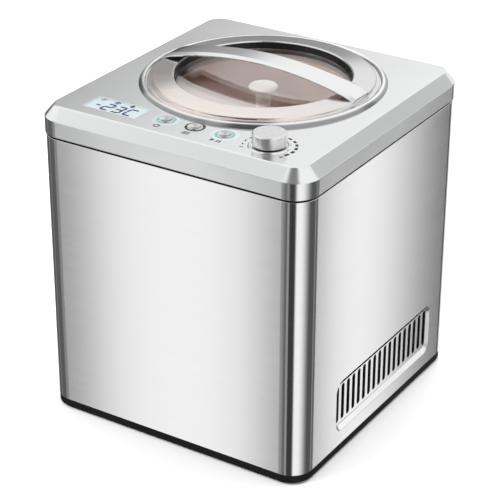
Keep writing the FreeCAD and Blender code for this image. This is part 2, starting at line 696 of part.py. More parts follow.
def machine_deck():
    """Folded steel deck on four legs that carries the drive above the compressor."""
    a, b = BODY_W / 2 - 10.0, BODY_D / 2 - 18.0
    deck = block(-a, a, -b, b, DECK_Z, DECK_TOP_Z)
    half = DECK_LEG / 2
    for x, y in deck_legs():
        deck = deck.fuse(block(x - half, x + half, y - half, y + half, FLOOR_Z, DECK_Z))
    for sx in (-1, 1):
        deck = deck.cut(rod(SCREW_R, DECK_Z - 1, DECK_TOP_Z + 1, MOTOR_X + sx * (MOTOR_R - 6), MOTOR_Y))
    return deck.removeSplitter()


def shaft_post():
    """Lower bearing post of the drive shaft, standing on the deck."""
    top = GEAR_Z - 4.0
    post = turned(
        [(0, DECK_TOP_Z), (20, DECK_TOP_Z), (20, DECK_TOP_Z + 3), (12, DECK_TOP_Z + 5), (12, top), (0, top)],
        0, WELL_Y,
    )
    return post.cut(rod(SHAFT_R + RUNNING, DECK_TOP_Z + 3.8, top + 1, 0, WELL_Y))


def shaft_bearing():
    """Bush that fills the well's hub and guides the drive shaft."""
    r = SHAFT_R + 7.0
    return turned(
        [(SHAFT_R + RUNNING, FOAM_Z), (r + 4.5, FOAM_Z), (r + 4.5, WELL_FLOOR_Z - WELL_WALL),
         (r, WELL_FLOOR_Z - WELL_WALL), (r, WELL_FLOOR_Z), (SHAFT_R + 2.0, WELL_FLOOR_Z),
         (SHAFT_R + 2.0, WELL_FLOOR_Z - 5.0), (SHAFT_R + RUNNING, WELL_FLOOR_Z - 5.0)],
        0, WELL_Y,
    )


def shaft_seal():
    """Lip seal pressed into the top of the bush."""
    r = SHAFT_R + 2.0
    return turned(
        [(SHAFT_R + RUNNING, WELL_FLOOR_Z - 5.0), (r, WELL_FLOOR_Z - 5.0), (r, WELL_FLOOR_Z),
         (SHAFT_R + 1.0, WELL_FLOOR_Z), (SHAFT_R + RUNNING, WELL_FLOOR_Z - 2.0)],
        0, WELL_Y,
    )


def blade_frame(side, top_z):
    """Flat scraper frame from the hub out to the bowl's wall."""
    inner, outer = 12.0, BOWL_R - BOWL_WALL - PADDLE_CLEAR
    low = BOWL_Z + BOWL_WALL + PADDLE_CLEAR
    half = PADDLE_T / 2
    x0, x1 = sorted((side * inner, side * outer))
    plate = block(x0, x1, WELL_Y - half, WELL_Y + half, low, top_z)
    x0, x1 = sorted((side * (inner + 12.0), side * (outer - 9.0)))
    window = block(x0, x1, WELL_Y - 10, WELL_Y + 10, low + 10.0, top_z - 9.0)
    corner = block(*sorted((side * (outer - 5.0), side * (outer + 5.0))), WELL_Y - 10, WELL_Y + 10,
                   low - 5.0, low + 5.0)
    corner.rotate(Vector(side * outer, WELL_Y, low), Vector(0, 1, 0), 45)
    return plate.cut(window).cut(corner)


def mixing_paddle():
    """Hub over the bowl's tube, two scraper frames, and a stem with a round finger cap."""
    hub_low = BOWL_Z + BOWL_WALL + PADDLE_CLEAR
    cap_top = TOP_Z - PADDLE_TOP_DROP
    socket_r = BOWL_TUBE_R + 0.8
    hub_top = TUBE_TOP_Z + HEX_LENGTH + 6.0
    body = turned(
        [(0, hub_low), (socket_r + 3.5, hub_low), (socket_r + 2.5, hub_top - 8), (PADDLE_STEM_R, hub_top),
         (PADDLE_STEM_R, cap_top - 7.0), (PADDLE_CAP_R - 3.5, cap_top - 5.6),
         (PADDLE_CAP_R - 0.6, cap_top - 4.0), (PADDLE_CAP_R, cap_top - 2.4),
         (PADDLE_CAP_R - 1.2, cap_top - 0.7), (PADDLE_CAP_R - 3.4, cap_top), (0, cap_top)],
        0, WELL_Y,
    )
    body = body.fuse([blade_frame(1, BOWL_TOP_Z - 26.0), blade_frame(-1, BOWL_TOP_Z - 46.0)])
    body = body.cut(rod(socket_r, hub_low - 1, TUBE_TOP_Z + 0.8, 0, WELL_Y))
    socket = hexagon(HEX_FLATS + 2 * HEX_CLEAR, TUBE_TOP_Z, TUBE_TOP_Z + HEX_LENGTH + 0.8, 0, WELL_Y)
    return body.cut(socket).removeSplitter()


# ---- machinery in the base ----------------------------------------------------------------
def compressor():
    x, y = COMPRESSOR_AT
    low = FLOOR_Z + MOUNT_H
    top = low + COMPRESSOR_H
    body = turned(
        [(0, low + 3), (COMPRESSOR_R - 16, low + 3), (COMPRESSOR_R - 4, low + 12),
         (COMPRESSOR_R, low + 26), (COMPRESSOR_R, low + 48), (COMPRESSOR_R + 1.5, low + 49),
         (COMPRESSOR_R + 1.5, low + 52), (COMPRESSOR_R, low + 53), (COMPRESSOR_R - 2, top - 22),
         (COMPRESSOR_R - 12, top - 7), (COMPRESSOR_R - 26, top), (0, top)],
        x, y,
    )
    base = block(x - 44, x + 44, y - 36, y + 36, low, low + 3)
    for px, py in mount_places():
        base = base.cut(rod(3.4, low - 1, low + 4, px, py))
    terminal = block(x - 14, x + 14, y - COMPRESSOR_R - 12, y - COMPRESSOR_R + 6, low + 30, low + 58)
    return body.fuse([base, terminal]).removeSplitter()


def mount_places():
    x, y = COMPRESSOR_AT
    return [(x + sx * 38, y + sy * 30) for sx in (-1, 1) for sy in (-1, 1)]


def compressor_mounts():
    """Four grooved rubber bushes between the tray and the compressor's foot plate."""
    low = FLOOR_Z
    top = low + MOUNT_H
    shapes = []
    for x, y in mount_places():
        shapes.append(turned(
            [(0, low), (7, low), (7, top - 1), (6.4, top), (3.4, top), (3.4, top + 3),
             (5.4, top + 3), (5.4, top + 4), (0, top + 4)], x, y))
    return Part.makeCompound(shapes)


def condenser():
    """Finned coil behind the right-hand vent: upright fins on level tubes, with two feet."""
    x0, x1 = CONDENSER_X
    y0, y1 = CONDENSER_Y
    low = FLOOR_Z + 6.0
    top = low + CONDENSER_H
    pitch = (y1 - y0) / (CONDENSER_FINS - 1)
    middle = (x0 + x1) / 2
    fins = [block(x0, x1, y0 + i * pitch - 0.4, y0 + i * pitch + 0.4, low, top)
            for i in range(CONDENSER_FINS)]
    tubes = [rod_along(Vector(0, 1, 0), 3.0, y1 - y0 + 8, Vector(middle, y0 - 4, low + z))
             for z in (10.0, 30.0, 50.0, 70.0, 90.0)]
    feet = [block(x0 + 4, x1 - 4, y - 3, y + 3, FLOOR_Z, low + 3)
            for y in (y0 + 2 * pitch, y1 - 2 * pitch)]
    return tubes[0].fuse(tubes[1:] + fins + feet).removeSplitter()


def fan_centre():
    x = CONDENSER_X[0] - FAN_DEPTH / 2 - 4.0
    return Vector(x, sum(CONDENSER_Y) / 2, FLOOR_Z + 6.0 + CONDENSER_H / 2)


def fan_shroud():
    """Square frame with a round duct and four arms that hold the fan motor."""
    c = fan_centre()
    half, d = FAN_R + FAN_TIP_GAP + 4.0, FAN_DEPTH / 2
    frame = block(c.x - d, c.x + d, c.y - half, c.y + half, c.z - half, c.z + half)
    axis = Vector(1, 0, 0)
    frame = frame.cut(rod_along(axis, FAN_R + FAN_TIP_GAP, FAN_DEPTH + 2, c - Vector(d + 1, 0, 0)))
    motor = rod_along(axis, 15.0, 6.0, c - Vector(d, 0, 0))
    for angle in (45, 135):
        arm = block(c.x - d, c.x - d + 3, c.y - half + 1, c.y + half - 1, c.z - 2, c.z + 2)
        arm.rotate(c, axis, angle)
        motor = motor.fuse(arm)
    foot = block(c.x - d, c.x + d, c.y - half, c.y + half, FLOOR_Z, c.z - half)
    pin = rod_along(axis, 2.0, 7.0, c - Vector(d - 6.0, 0, 0))
    return frame.fuse([motor, foot, pin]).removeSplitter()


def fan_rotor():
    """Hub with pitched blades, running on the pin of the fan motor."""
    c = fan_centre()
    axis = Vector(1, 0, 0)
    x_low = c.x - FAN_DEPTH / 2 + 7.0
    hub = rod_along(axis, 14.0, 10.0, Vector(x_low, c.y, c.z))
    for i in range(FAN_BLADES):
        blade = block(x_low, x_low + 9.0, c.y - 0.8, c.y + 0.8, c.z + 12.0, c.z + FAN_R)
        blade.rotate(Vector(x_low + 5.0, c.y, c.z), Vector(0, 0, 1), 38)
        blade.rotate(c, axis, 360.0 * i / FAN_BLADES)
        hub = hub.fuse(blade)
    rim = rod_along(axis, FAN_R, 10.0, Vector(x_low, c.y, c.z))
    bore = rod_along(axis, 2.0 + RUNNING, 7.5, Vector(x_low - 1, c.y, c.z))
    return hub.common(rim).cut(bore).removeSplitter()


def filter_drier():
    x, y = COMPRESSOR_AT[0] + 4, BODY_D / 2 - 22.0
    return turned(
        [(0, FLOOR_Z + 20), (3, FLOOR_Z + 22), (9, FLOOR_Z + 30), (9, FLOOR_Z + 78),
         (3, FLOOR_Z + 86), (0, FLOOR_Z + 88)], x, y)


def drier_clip():
    x, y = COMPRESSOR_AT[0] + 4, BODY_D / 2 - 22.0
    clip = block(x - 12, x + 12, y - 4, y + 10, FLOOR_Z, FLOOR_Z + 44)
    clip = clip.cut(block(x - 10, x + 10, y - 5, y + 8, FLOOR_Z + 2, FLOOR_Z + 42))
    return clip.fuse(tube(11.5, 9.0, FLOOR_Z + 36, FLOOR_Z + 44, x, y)).cut(
        rod(9.0, FLOOR_Z + 20, FLOOR_Z + 90, x, y)).removeSplitter()


def bent_pipe(points, radius, bend):
    """Round tube along straight runs joined by tangent arcs of one bend radius."""
    corners = [Vector(*p) for p in points]
    edges = []
    here = corners[0]
    for before, corner, after in zip(corners, corners[1:], corners[2:]):
        back = (before - corner).normalize()
        ahead = (after - corner).normalize()
        half = back.getAngle(ahead) / 2
        reach = bend / math.tan(half)
        start, end = corner + back * reach, corner + ahead * reach
        towards = (back + ahead).normalize()
        middle = corner + towards * (bend / math.sin(half) - bend)
        edges.append(Part.LineSegment(here, start).toShape())
        edges.append(Part.Arc(start, middle, end).toShape())
        here = end
    edges.append(Part.LineSegment(here, corners[-1]).toShape())
    path = Part.Wire(edges)
    first = corners[1] - corners[0]
    section = Part.Wire(Part.makeCircle(radius, corners[0], first))
    return path.makePipeShell([section], True, False)


def suction_pipe():
    """From the foam round the evaporator down to the top of the compressor."""
    x, y = COMPRESSOR_AT
    top = FOAM_Z + 40.0
    gap_y = BODY_D / 2 - 14.0
    start = FLOOR_Z + MOUNT_H + COMPRESSOR_H - 12.0
    pipe = bent_pipe(
        [(x - 8, y + 18, start), (x - 8, y + 18, start + 18), (x - 8, gap_y, start + 18),
         (x - 8, gap_y, top), (x - 8, WELL_Y + 40.0, top)], 3.0, 5.0)
    return largest(pipe.cut(compressor()).cut(rod(FOAM_R, FOAM_Z, FLANGE_Z, 0, WELL_Y)))


def discharge_pipe():
    """From the compressor's side to the top tube of the condenser."""
    x, y = COMPRESSOR_AT
    z = FLOOR_Z + 6.0 + 90.0
    middle = sum(CONDENSER_X) / 2
    end_y = CONDENSER_Y[1] + 4.0
    pipe = bent_pipe(
        [(x + COMPRESSOR_R - 8.0, y + 4, z - 20), (x + COMPRESSOR_R + 16, y + 4, z - 20),
         (x + COMPRESSOR_R + 16, end_y + 12, z - 20), (x + COMPRESSOR_R + 16, end_y + 12, z),
         (middle, end_y + 12, z), (middle, end_y, z)], 3.0, 4.5)
    return largest(pipe.cut(compressor()))


def power_board():
    x0, x1, y0, y1 = -104.0, 34.0, -122.0, -48.0
    z = FLOOR_Z + 10.0
    board = block(x0, x1, y0, y1, z, z + BOARD_T)
    transformer = block(-92, -56, -112, -76, z + BOARD_T, z + 34)
    relay = block(-40, -20, -110, -94, z + BOARD_T, z + 18)
    sink = block(0, 24, -114, -108, z + BOARD_T, z + 30)
    capacitor = rod(9, z + BOARD_T, z + 26, -30, -70)
    board = board.fuse([transformer, relay, sink, capacitor])
    for x, y in board_posts():
        board = board.cut(rod(SCREW_R, z - 1, z + 5, x, y))
    return board.removeSplitter()


def board_posts():
    return [(x, y) for x in (-98.0, 28.0) for y in (-118.0, -52.0)]


def power_board_posts():
    z = FLOOR_Z + 10.0
    shapes = []
    for x, y in board_posts():
        post = rod(3.5, FLOOR_Z, z, x, y).fuse(rod(SCREW_R, z, z + BOARD_T, x, y))
        shapes.append(post.fuse(rod(3.2, z + BOARD_T, z + BOARD_T + 2, x, y)).removeSplitter())
    return Part.makeCompound(shapes)


# ---- write every piece --------------------------------------------------------------------
def pieces():
    made = {
        "outer_housing": outer_housing(),
        "top_cover": top_cover(),
        "trim_collar": trim_collar(),
        "base_tray": base_tray(),
        "mains_inlet": mains_inlet(),
        "lid_ring": lid_ring(),
        "lid_window": lid_window(),
        "lid_seal": lid_seal(),
        "lid_handle": lid_handle(),
        "handle_screws": handle_screws(),
        "display_lens": display_lens(),
        "display_module": display_module(),
        "tact_switches": tact_switches(),
        "knob_base_ring": knob_base_ring(),
        "knob": knob(),
        "encoder_shaft": encoder_shaft(),
        "encoder_body": encoder_body(),
        "control_board": control_board(),
        "control_board_screws": control_board_screws(),
        "bowl": bowl(),
        "mixing_paddle": mixing_paddle(),
        "cooling_well": cooling_well(),
        "evaporator_coil": evaporator_coil(),
        "insulation": insulation(),
        "drive_shaft": drive_shaft(),
        "drive_gear": drive_gear(),
        "shaft_bearing": shaft_bearing(),
        "shaft_seal": shaft_seal(),
        "shaft_post": shaft_post(),
        "drive_motor": drive_motor(),
        "motor_shaft": motor_shaft(),
        "motor_pinion": motor_pinion(),
        "motor_screws": motor_screws(),
        "machine_deck": machine_deck(),
        "compressor": compressor(),
        "compressor_mounts": compressor_mounts(),
        "condenser": condenser(),
        "fan_shroud": fan_shroud(),
        "fan_rotor": fan_rotor(),
        "filter_drier": filter_drier(),
        "drier_clip": drier_clip(),
        "suction_pipe": suction_pipe(),
        "discharge_pipe": discharge_pipe(),
        "power_board": power_board(),
        "power_board_posts": power_board_posts(),
    }
    for x, name in zip(BUTTON_X, BUTTON_NAMES):
        made[name + "_button"] = push_button(x)
        made[name + "_button_ring"] = button_ring(x)
    for (x, y), name in zip(foot_places(), ("front_left", "front_right", "back_left", "back_right")):
        made["foot_" + name] = rubber_foot(x, y)
    return made


os.makedirs("parts", exist_ok=True)
for name, shape in pieces().items():
    shape.exportStep(os.path.join("parts", name + ".step"))
    print(name, "valid" if shape.isValid() else "INVALID", len(shape.Solids), round(shape.Volume / 1000, 2))
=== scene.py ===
"""Looks of a countertop compressor ice cream maker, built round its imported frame, in metres."""
import json
import math

import bmesh
import bpy
from mathutils import Matrix, Vector


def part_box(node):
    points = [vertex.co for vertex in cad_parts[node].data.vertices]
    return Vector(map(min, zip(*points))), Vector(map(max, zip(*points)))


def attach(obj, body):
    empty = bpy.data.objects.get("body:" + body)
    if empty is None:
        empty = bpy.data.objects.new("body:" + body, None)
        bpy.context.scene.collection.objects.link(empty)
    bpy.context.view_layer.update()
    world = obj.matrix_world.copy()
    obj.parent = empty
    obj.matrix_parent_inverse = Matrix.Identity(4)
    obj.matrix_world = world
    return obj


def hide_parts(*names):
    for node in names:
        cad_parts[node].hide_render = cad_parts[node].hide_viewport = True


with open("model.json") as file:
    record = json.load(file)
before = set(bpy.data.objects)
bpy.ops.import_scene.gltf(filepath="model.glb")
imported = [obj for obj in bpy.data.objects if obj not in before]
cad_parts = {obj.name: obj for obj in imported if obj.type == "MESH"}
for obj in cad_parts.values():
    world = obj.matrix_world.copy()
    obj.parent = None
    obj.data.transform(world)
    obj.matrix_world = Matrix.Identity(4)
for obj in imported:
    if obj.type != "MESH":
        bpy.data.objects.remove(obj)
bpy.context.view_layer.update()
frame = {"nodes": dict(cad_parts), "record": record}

MM = 0.001

# ---- places read from the frame -----------------------------------------------------------
COVER_LOW, COVER_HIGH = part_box("top_cover")
WRAP_LOW, WRAP_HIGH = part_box("outer_housing")
TRAY_LOW, TRAY_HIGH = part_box("base_tray")
COLLAR_LOW, COLLAR_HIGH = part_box("trim_collar")
RING_LOW, RING_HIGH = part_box("lid_ring")
WINDOW_LOW, WINDOW_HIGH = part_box("lid_window")
HANDLE_LOW, HANDLE_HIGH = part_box("lid_handle")
BOWL_LOW, BOWL_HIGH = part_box("bowl")
PADDLE_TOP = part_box("mixing_paddle")[1].z
LENS_LOW, LENS_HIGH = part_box("display_lens")
KNOB_LOW, KNOB_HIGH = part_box("knob")
KNOB_RING_LOW, KNOB_RING_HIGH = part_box("knob_base_ring")
INLET_LOW, INLET_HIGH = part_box("mains_inlet")

WIDTH = COVER_HIGH.x - COVER_LOW.x
DEPTH = COVER_HIGH.y - COVER_LOW.y
TOP = COVER_HIGH.z
SEAM_GAP = 1.9 * MM
SEAM = WRAP_HIGH.z + SEAM_GAP
CORNER = 23.0 * MM
OVERHANG = (WIDTH - (WRAP_HIGH.x - WRAP_LOW.x)) / 2
BEVEL_DROP = 11.2 * MM
BEVEL_INSET = 9.5 * MM
COVER_WALL = 3.0 * MM
SHEET = 1.2 * MM
WELL = Vector((0, (COLLAR_LOW.y + COLLAR_HIGH.y) / 2, 0))
COLLAR_R = (COLLAR_HIGH.x - COLLAR_LOW.x) / 2
LID_R = (RING_HIGH.x - RING_LOW.x) / 2
WINDOW_R = (WINDOW_HIGH.x - WINDOW_LOW.x) / 2
WINDOW_TOP = WINDOW_HIGH.z
VENT_Y = (-82.0 * MM, 104.0 * MM)
VENT_Z = (24.0 * MM, 78.0 * MM)
VENT_R = 11.0 * MM
VENT_DEPTH = 3.0 * MM
VENT_SLOPE = 5.6 * MM
VENT_END_SHARE = 0.6
SLOTS = 18
SLOT_PITCH = 10.13 * MM
SLOT_WIDTH = 5.7 * MM
SLOT_Z = (33.0 * MM, 71.0 * MM)
SLOT_SHIFT = 0.0
BUTTONS = ("power", "menu", "start")
HOLE_SIDES = 64


def middle(node):
    low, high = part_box(node)
    return (low + high) / 2


# ---- outlines and shapes ------------------------------------------------------------------
def softened(points, steps=5, guard=0.35 * MM, closed=True):
    """Replace each (u, v, radius) corner by an arc, with a guard point on each side of it."""
    result = []
    count = len(points)
    for i, (u, v, radius) in enumerate(points):
        corner = Vector((u, v))
        ends = not closed and i in (0, count - 1)
        if radius <= 0 or ends:
            result.append((u, v))
            continue
        before = Vector(points[i - 1][:2]) - corner
        after = Vector(points[(i + 1) % count][:2]) - corner
        room = 0.48 * min(before.length, after.length)
        a, b = before.normalized(), after.normalized()
        half = a.angle(b) / 2
        reach = min(radius / math.tan(half), room)
        r = reach * math.tan(half)
        centre = corner + (a + b).normalized() * (r / math.sin(half))
        start, end = corner + a * reach, corner + b * reach
        if reach + guard < room:
            result.append(tuple(corner + a * (reach + guard)))
        turn = math.pi - 2 * half
        side = 1 if a.cross(b) > 0 else -1
        arm = start - centre
        for k in range(steps + 1):
            angle = -side * turn * k / steps
            c, s = math.cos(angle), math.sin(angle)
            result.append((centre.x + arm.x * c - arm.y * s, centre.y + arm.x * s + arm.y * c))
        if reach + guard < room:
            result.append(tuple(corner + b * (reach + guard)))
    return result


def rounded_rectangle(width, depth, radius, steps=14, guard=1.0 * MM, x=0.0, y=0.0):
    """Anticlockwise (x, y) points: four arcs, with a guard point beside each."""
    points = []
    a, b = width / 2 - radius, depth / 2 - radius
    for quarter, (sx, sy) in enumerate(((1, 1), (-1, 1), (-1, -1), (1, -1))):
        start = quarter * math.pi / 2
        cx, cy = x + sx * a, y + sy * b
        for k in range(steps + 1):
            angle = start + math.pi / 2 * k / steps
            along = Vector((-math.sin(angle), math.cos(angle))) * guard
            p = Vector((cx + radius * math.cos(angle), cy + radius * math.sin(angle)))
            if k == 0:
                points.append(tuple(p - along))
            points.append(tuple(p))
            if k == steps:
                points.append(tuple(p + along))
    return points


def skin(rows, loop_rows):
    """Join rows of points into a closed surface; a row of one point is a pole."""
    bm = bmesh.new()
    made = [[bm.verts.new(p) for p in row] for row in rows]
    pairs = list(zip(made, made[1:]))
    if loop_rows:
        pairs.append((made[-1], made[0]))
    for low, high in pairs:
        count = max(len(low), len(high))
        for i in range(count):
            j = (i + 1) % count
            quad = [low[i % len(low)], low[j % len(low)], high[j % len(high)], high[i % len(high)]]
            unique = list(dict.fromkeys(quad))
            if len(unique) > 2:
                bm.faces.new(unique)
    if not loop_rows:
        for row in (made[0], made[-1]):
            if len(row) > 2:
                bm.faces.new(row)
    bmesh.ops.recalc_face_normals(bm, faces=bm.faces)
    return bm


def turned(profile, steps=128, x=0.0, y=0.0, loop_rows=True):
    """Surface of revolution about the upright axis at x, y from (radius, height) points."""
    rows = []
    for r, z in profile:
        if r < 1e-7:
            rows.append([(x, y, z)])
            continue
        rows.append([(x + r * math.cos(2 * math.pi * i / steps),
                      y + r * math.sin(2 * math.pi * i / steps), z) for i in range(steps)])
    return skin(rows, loop_rows)


def box_rings(profile, width, depth, radius, steps=14):
    """Rows of rounded rectangles for (inset, height) points."""
    rows = []
    for inset, z in profile:
        ring = rounded_rectangle(width - 2 * inset, depth - 2 * inset, radius - inset, steps)
        rows.append([(px, py, z) for px, py in ring])
    return rows


def divided(ring, parts=16, long_side=30 * MM):
    """The same closed ring with its long straight sides cut into short ones."""
    points = []
    for start, end in zip(ring, ring[1:] + ring[:1]):
        a, b = Vector(start), Vector(end)
        count = parts if (b - a).length > long_side else 1
        points += [tuple(a.lerp(b, k / count)) for k in range(count)]
    return points


def prism(outline, low, high, place):
    """Closed solid from a flat outline; place(u, v, w) gives each corner's point."""
    rows = [[place(u, v, w) for u, v in outline] for w in (low, high)]
    return skin(rows, False)


def link(name, mesh):
    obj = bpy.data.objects.new(name, mesh)
    bpy.context.scene.collection.objects.link(obj)
    return obj


def mesh_object(name, bm, merge=True):
    if merge:
        bmesh.ops.remove_doubles(bm, verts=bm.verts, dist=1e-7)
    mesh = bpy.data.meshes.new(name)
    bm.to_mesh(mesh)
    bm.free()
    return link(name, mesh)


def settle(obj):
    """Turn the evaluated modifiers into the object's own mesh."""
    graph = bpy.context.evaluated_depsgraph_get()
    mesh = bpy.data.meshes.new_from_object(obj.evaluated_get(graph))
    obj.modifiers.clear()
    old = obj.data
    obj.data = mesh
    bpy.data.meshes.remove(old)
    return obj


def carve(obj, tool, operation="DIFFERENCE"):
    modifier = obj.modifiers.new("carve", "BOOLEAN")
    modifier.operation = operation
    modifier.solver = "EXACT"
    modifier.object = tool
    settle(obj)
    bpy.data.objects.remove(tool)
    return obj


def soften_edges(obj, width, segments=2, angle=40.0):
    modifier = obj.modifiers.new("soften", "BEVEL")
    modifier.width = width
    modifier.segments = segments
    modifier.limit_method = "ANGLE"
    modifier.angle_limit = math.radians(angle)
    modifier.harden_normals = False
    return settle(obj)


def even_normals(obj):
    """Keep the shading of large flat faces flat right up to their rounded edges."""
    modifier = obj.modifiers.new("even", "WEIGHTED_NORMAL")
    modifier.mode = "FACE_AREA"
    modifier.weight = 100
    modifier.keep_sharp = True
    return settle(obj)


def finish_piece(obj, material, body, slot, *nodes, sharp=35.0):
    """Shade, paint and fasten one finished piece to its body."""
    obj.data.materials.clear()
    obj.data.materials.append(material)
    for polygon in obj.data.polygons:
        polygon.use_smooth = True
        polygon.material_index = 0
    obj.data.set_sharp_from_angle(angle=math.radians(sharp))
    even_normals(obj)
    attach(obj, body)
    if nodes:
        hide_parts(*nodes)
    return obj


# ---- shader nodes -------------------------------------------------------------------------
class Socket:
    """An output of a shader node that takes part in Python sums."""

    def __init__(self, tree, output):
        self.tree, self.output = tree, output

    def math(self, operation, *others):
        return node(self.tree, "ShaderNodeMath", {"operation": operation}, [self, *others])

    def __add__(self, other):
        return self.math("ADD", other)

    def __sub__(self, other):
        return self.math("SUBTRACT", other)

    def __mul__(self, other):
        return self.math("MULTIPLY", other)

    def __truediv__(self, other):
        return self.math("DIVIDE", other)

    def __rsub__(self, other):
        return node(self.tree, "ShaderNodeMath", {"operation": "SUBTRACT"}, [other, self])

    __radd__ = __add__
    __rmul__ = __mul__

    def edge(self, start, end, low=0.0, high=1.0):
        """Rise smoothly from low at start to high at end."""
        settings = {"interpolation_type": "SMOOTHSTEP"}
        return node(self.tree, "ShaderNodeMapRange", settings, [self, start, end, low, high])

    def above(self, limit):
        return self.math("GREATER_THAN", limit)


def node(tree, kind, settings=None, inputs=(), output=0):
    """Add a node, set its settings, then its inputs, and hand back one output."""
    made = tree.nodes.new(kind)
    for key, value in (settings or {}).items():
        setattr(made, key, value)
    named = inputs.items() if isinstance(inputs, dict) else enumerate(inputs)
    for key, value in named:
        if isinstance(value, Socket):
            tree.links.new(value.output, made.inputs[key])
        else:
            made.inputs[key].default_value = value
    return Socket(tree, made.outputs[output])


class Finish:
    """One material with a Principled surface, and the means to feed it."""

    def __init__(self, name, colour, metallic=0.0, roughness=0.5, **constants):
        self.material = bpy.data.materials.new(name)
        self.material.use_nodes = True
        self.tree = self.material.node_tree
        self.surface = self.tree.nodes["Principled BSDF"]
        self.set("Base Color", (*colour, 1.0))
        self.set("Metallic", metallic)
        self.set("Roughness", roughness)
        for key, value in constants.items():
            self.set(key.replace("_", " ").title().replace("Ior", "IOR"), value)

    def set(self, name, value):
        if isinstance(value, Socket):
            self.tree.links.new(value.output, self.surface.inputs[name])
        else:
            self.surface.inputs[name].default_value = value

    def node(self, kind, settings=None, inputs=(), output=0):
        return node(self.tree, kind, settings, inputs, output)

    def coords(self):
        return self.node("ShaderNodeTexCoord", output="Object")

    def axis(self, which):
        return self.node("ShaderNodeSeparateXYZ", {}, [self.coords()], which)

    def stretched(self, scale, location=(0, 0, 0)):
        inputs = {"Vector": self.coords(), "Scale": scale, "Location": location}
        return self.node("ShaderNodeMapping", {}, inputs)

    def noise(self, scale, detail=3.0, stretch=(1, 1, 1), roughness=0.5):
        inputs = {"Vector": self.stretched(stretch), "Scale": scale, "Detail": detail,
                  "Roughness": roughness}
        return self.node("ShaderNodeTexNoise", {}, inputs)

    def spread(self, value, low, high):
        """Carry a 0 to 1 pattern to the range low to high."""
        return self.node("ShaderNodeMapRange", {}, [value, 0.25, 0.75, low, high])

    def blend(self, factor, first, second):
        inputs = {0: factor, 6: colour4(first), 7: colour4(second)}
        return self.node("ShaderNodeMix", {"data_type": "RGBA"}, inputs, 2)

    def relief(self, height, strength, distance):
        inputs = {"Height": height, "Strength": strength, "Distance": distance}
        self.set("Normal", self.node("ShaderNodeBump", {}, inputs))


def colour4(value):
    return value if isinstance(value, Socket) else (*value[:3], 1.0)


def steel_wrap():
    f = Finish("steel_wrap", (0.80, 0.80, 0.805), 1.0, 0.10)
    fine = f.noise(60.0, 6.0, (1.0, 1.0, 60.0), 0.65)
    broad = f.noise(6.0, 3.0, (1.0, 1.0, 22.0), 0.5)
    brush = fine * 0.7 + broad * 0.3
    f.set("Base Color", f.blend(brush, (0.74, 0.74, 0.745), (0.88, 0.88, 0.885)))
    f.set("Roughness", f.spread(brush, 0.085, 0.115))
    f.relief(fine, 0.06, 0.03 * MM)
    return f.material


def silver_cover():
    """Satin silver paint, with the buttons' light spilling onto it."""
    f = Finish("silver_cover", (0.82, 0.825, 0.83), 1.0, 0.12)
    flake = f.noise(2600.0, 1.0)
    cloud = f.noise(14.0, 2.0)
    f.set("Base Color", f.blend(flake, (0.79, 0.795, 0.80), (0.86, 0.865, 0.87)))
    f.set("Roughness", f.spread(cloud, 0.16, 0.20))
    glow = None
    for name in ("power", "start"):
        at = middle(name + "_button_ring")
        offset = f.node("ShaderNodeVectorMath", {"operation": "SUBTRACT"}, [f.coords(), tuple(at)])
        distance = f.node("ShaderNodeVectorMath", {"operation": "LENGTH"}, [offset], "Value")
        part = f.node("ShaderNodeMapRange", {}, [distance, 9.0 * MM, 15.5 * MM, 1.0, 0.0])
        glow = part if glow is None else glow + part
    upward = f.node("ShaderNodeSeparateXYZ", {}, [f.node("ShaderNodeTexCoord", output="Normal")], 2)
    glow = glow * glow * upward.above(0.9)
    f.set("Emission Color", f.blend(glow, (0, 0, 0), (0.18, 0.72, 0.66)))
    f.set("Emission Strength", 0.35)
    f.relief(flake, 0.02, 0.01 * MM)
    return f.material


def bright_trim():
    f = Finish("bright_trim", (0.80, 0.80, 0.805), 1.0, 0.14)
    smear = f.noise(40.0, 4.0)
    f.set("Roughness", f.spread(smear, 0.10, 0.17))
    f.set("Base Color", f.blend(smear, (0.76, 0.76, 0.765), (0.86, 0.86, 0.865)))
    return f.material


def collar_metal():
    """Polished crest, with painted shade darkening the outer flank."""
    f = Finish("collar_metal", (0.9, 0.9, 0.905), 1.0, 0.12)
    x, y = f.axis(0), f.axis(1) - WELL.y
    radius = (x * x + y * y).math("SQRT")
    # Painted shade: the base colour turns dark grey across the sloping outer flank.
    flank_painted_shade = radius.edge(COLLAR_R - 3.4 * MM, COLLAR_R - 1.6 * MM)
    f.set("Base Color", f.blend(flank_painted_shade, (0.92, 0.92, 0.925), (0.30, 0.30, 0.305)))
    f.set("Roughness", f.spread(f.noise(40.0, 4.0), 0.09, 0.16))
    return f.material


def handle_metal():
    f = Finish("handle_metal", (0.84, 0.84, 0.845), 1.0, 0.2)
    smear = f.noise(30.0, 4.0, (0.3, 1.0, 1.0))
    f.set("Roughness", f.spread(smear, 0.17, 0.25))
    f.set("Base Color", f.blend(smear, (0.80, 0.80, 0.805), (0.88, 0.88, 0.885)))
    return f.material


def clear_lid(name, alpha, tint):
    """Clear moulding under a bright sky: half of what it sends back is reflection."""
    f = Finish(name, tint, 1.0, 0.05)
    haze = f.noise(55.0, 2.0)
    # Painted reflection: the mirror layer grows stronger towards the window's front, so the front
    # shows more reflection.
    front = f.node("ShaderNodeMapRange", {},
                   [f.axis(1), WELL.y - 0.2 * WINDOW_R, WELL.y - 0.75 * WINDOW_R, 0, 1])
    f.set("Alpha", f.spread(haze, alpha - 0.02, alpha + 0.02) + front * 0.32)
    f.set("Roughness", f.spread(haze, 0.03, 0.07))
    return f.material


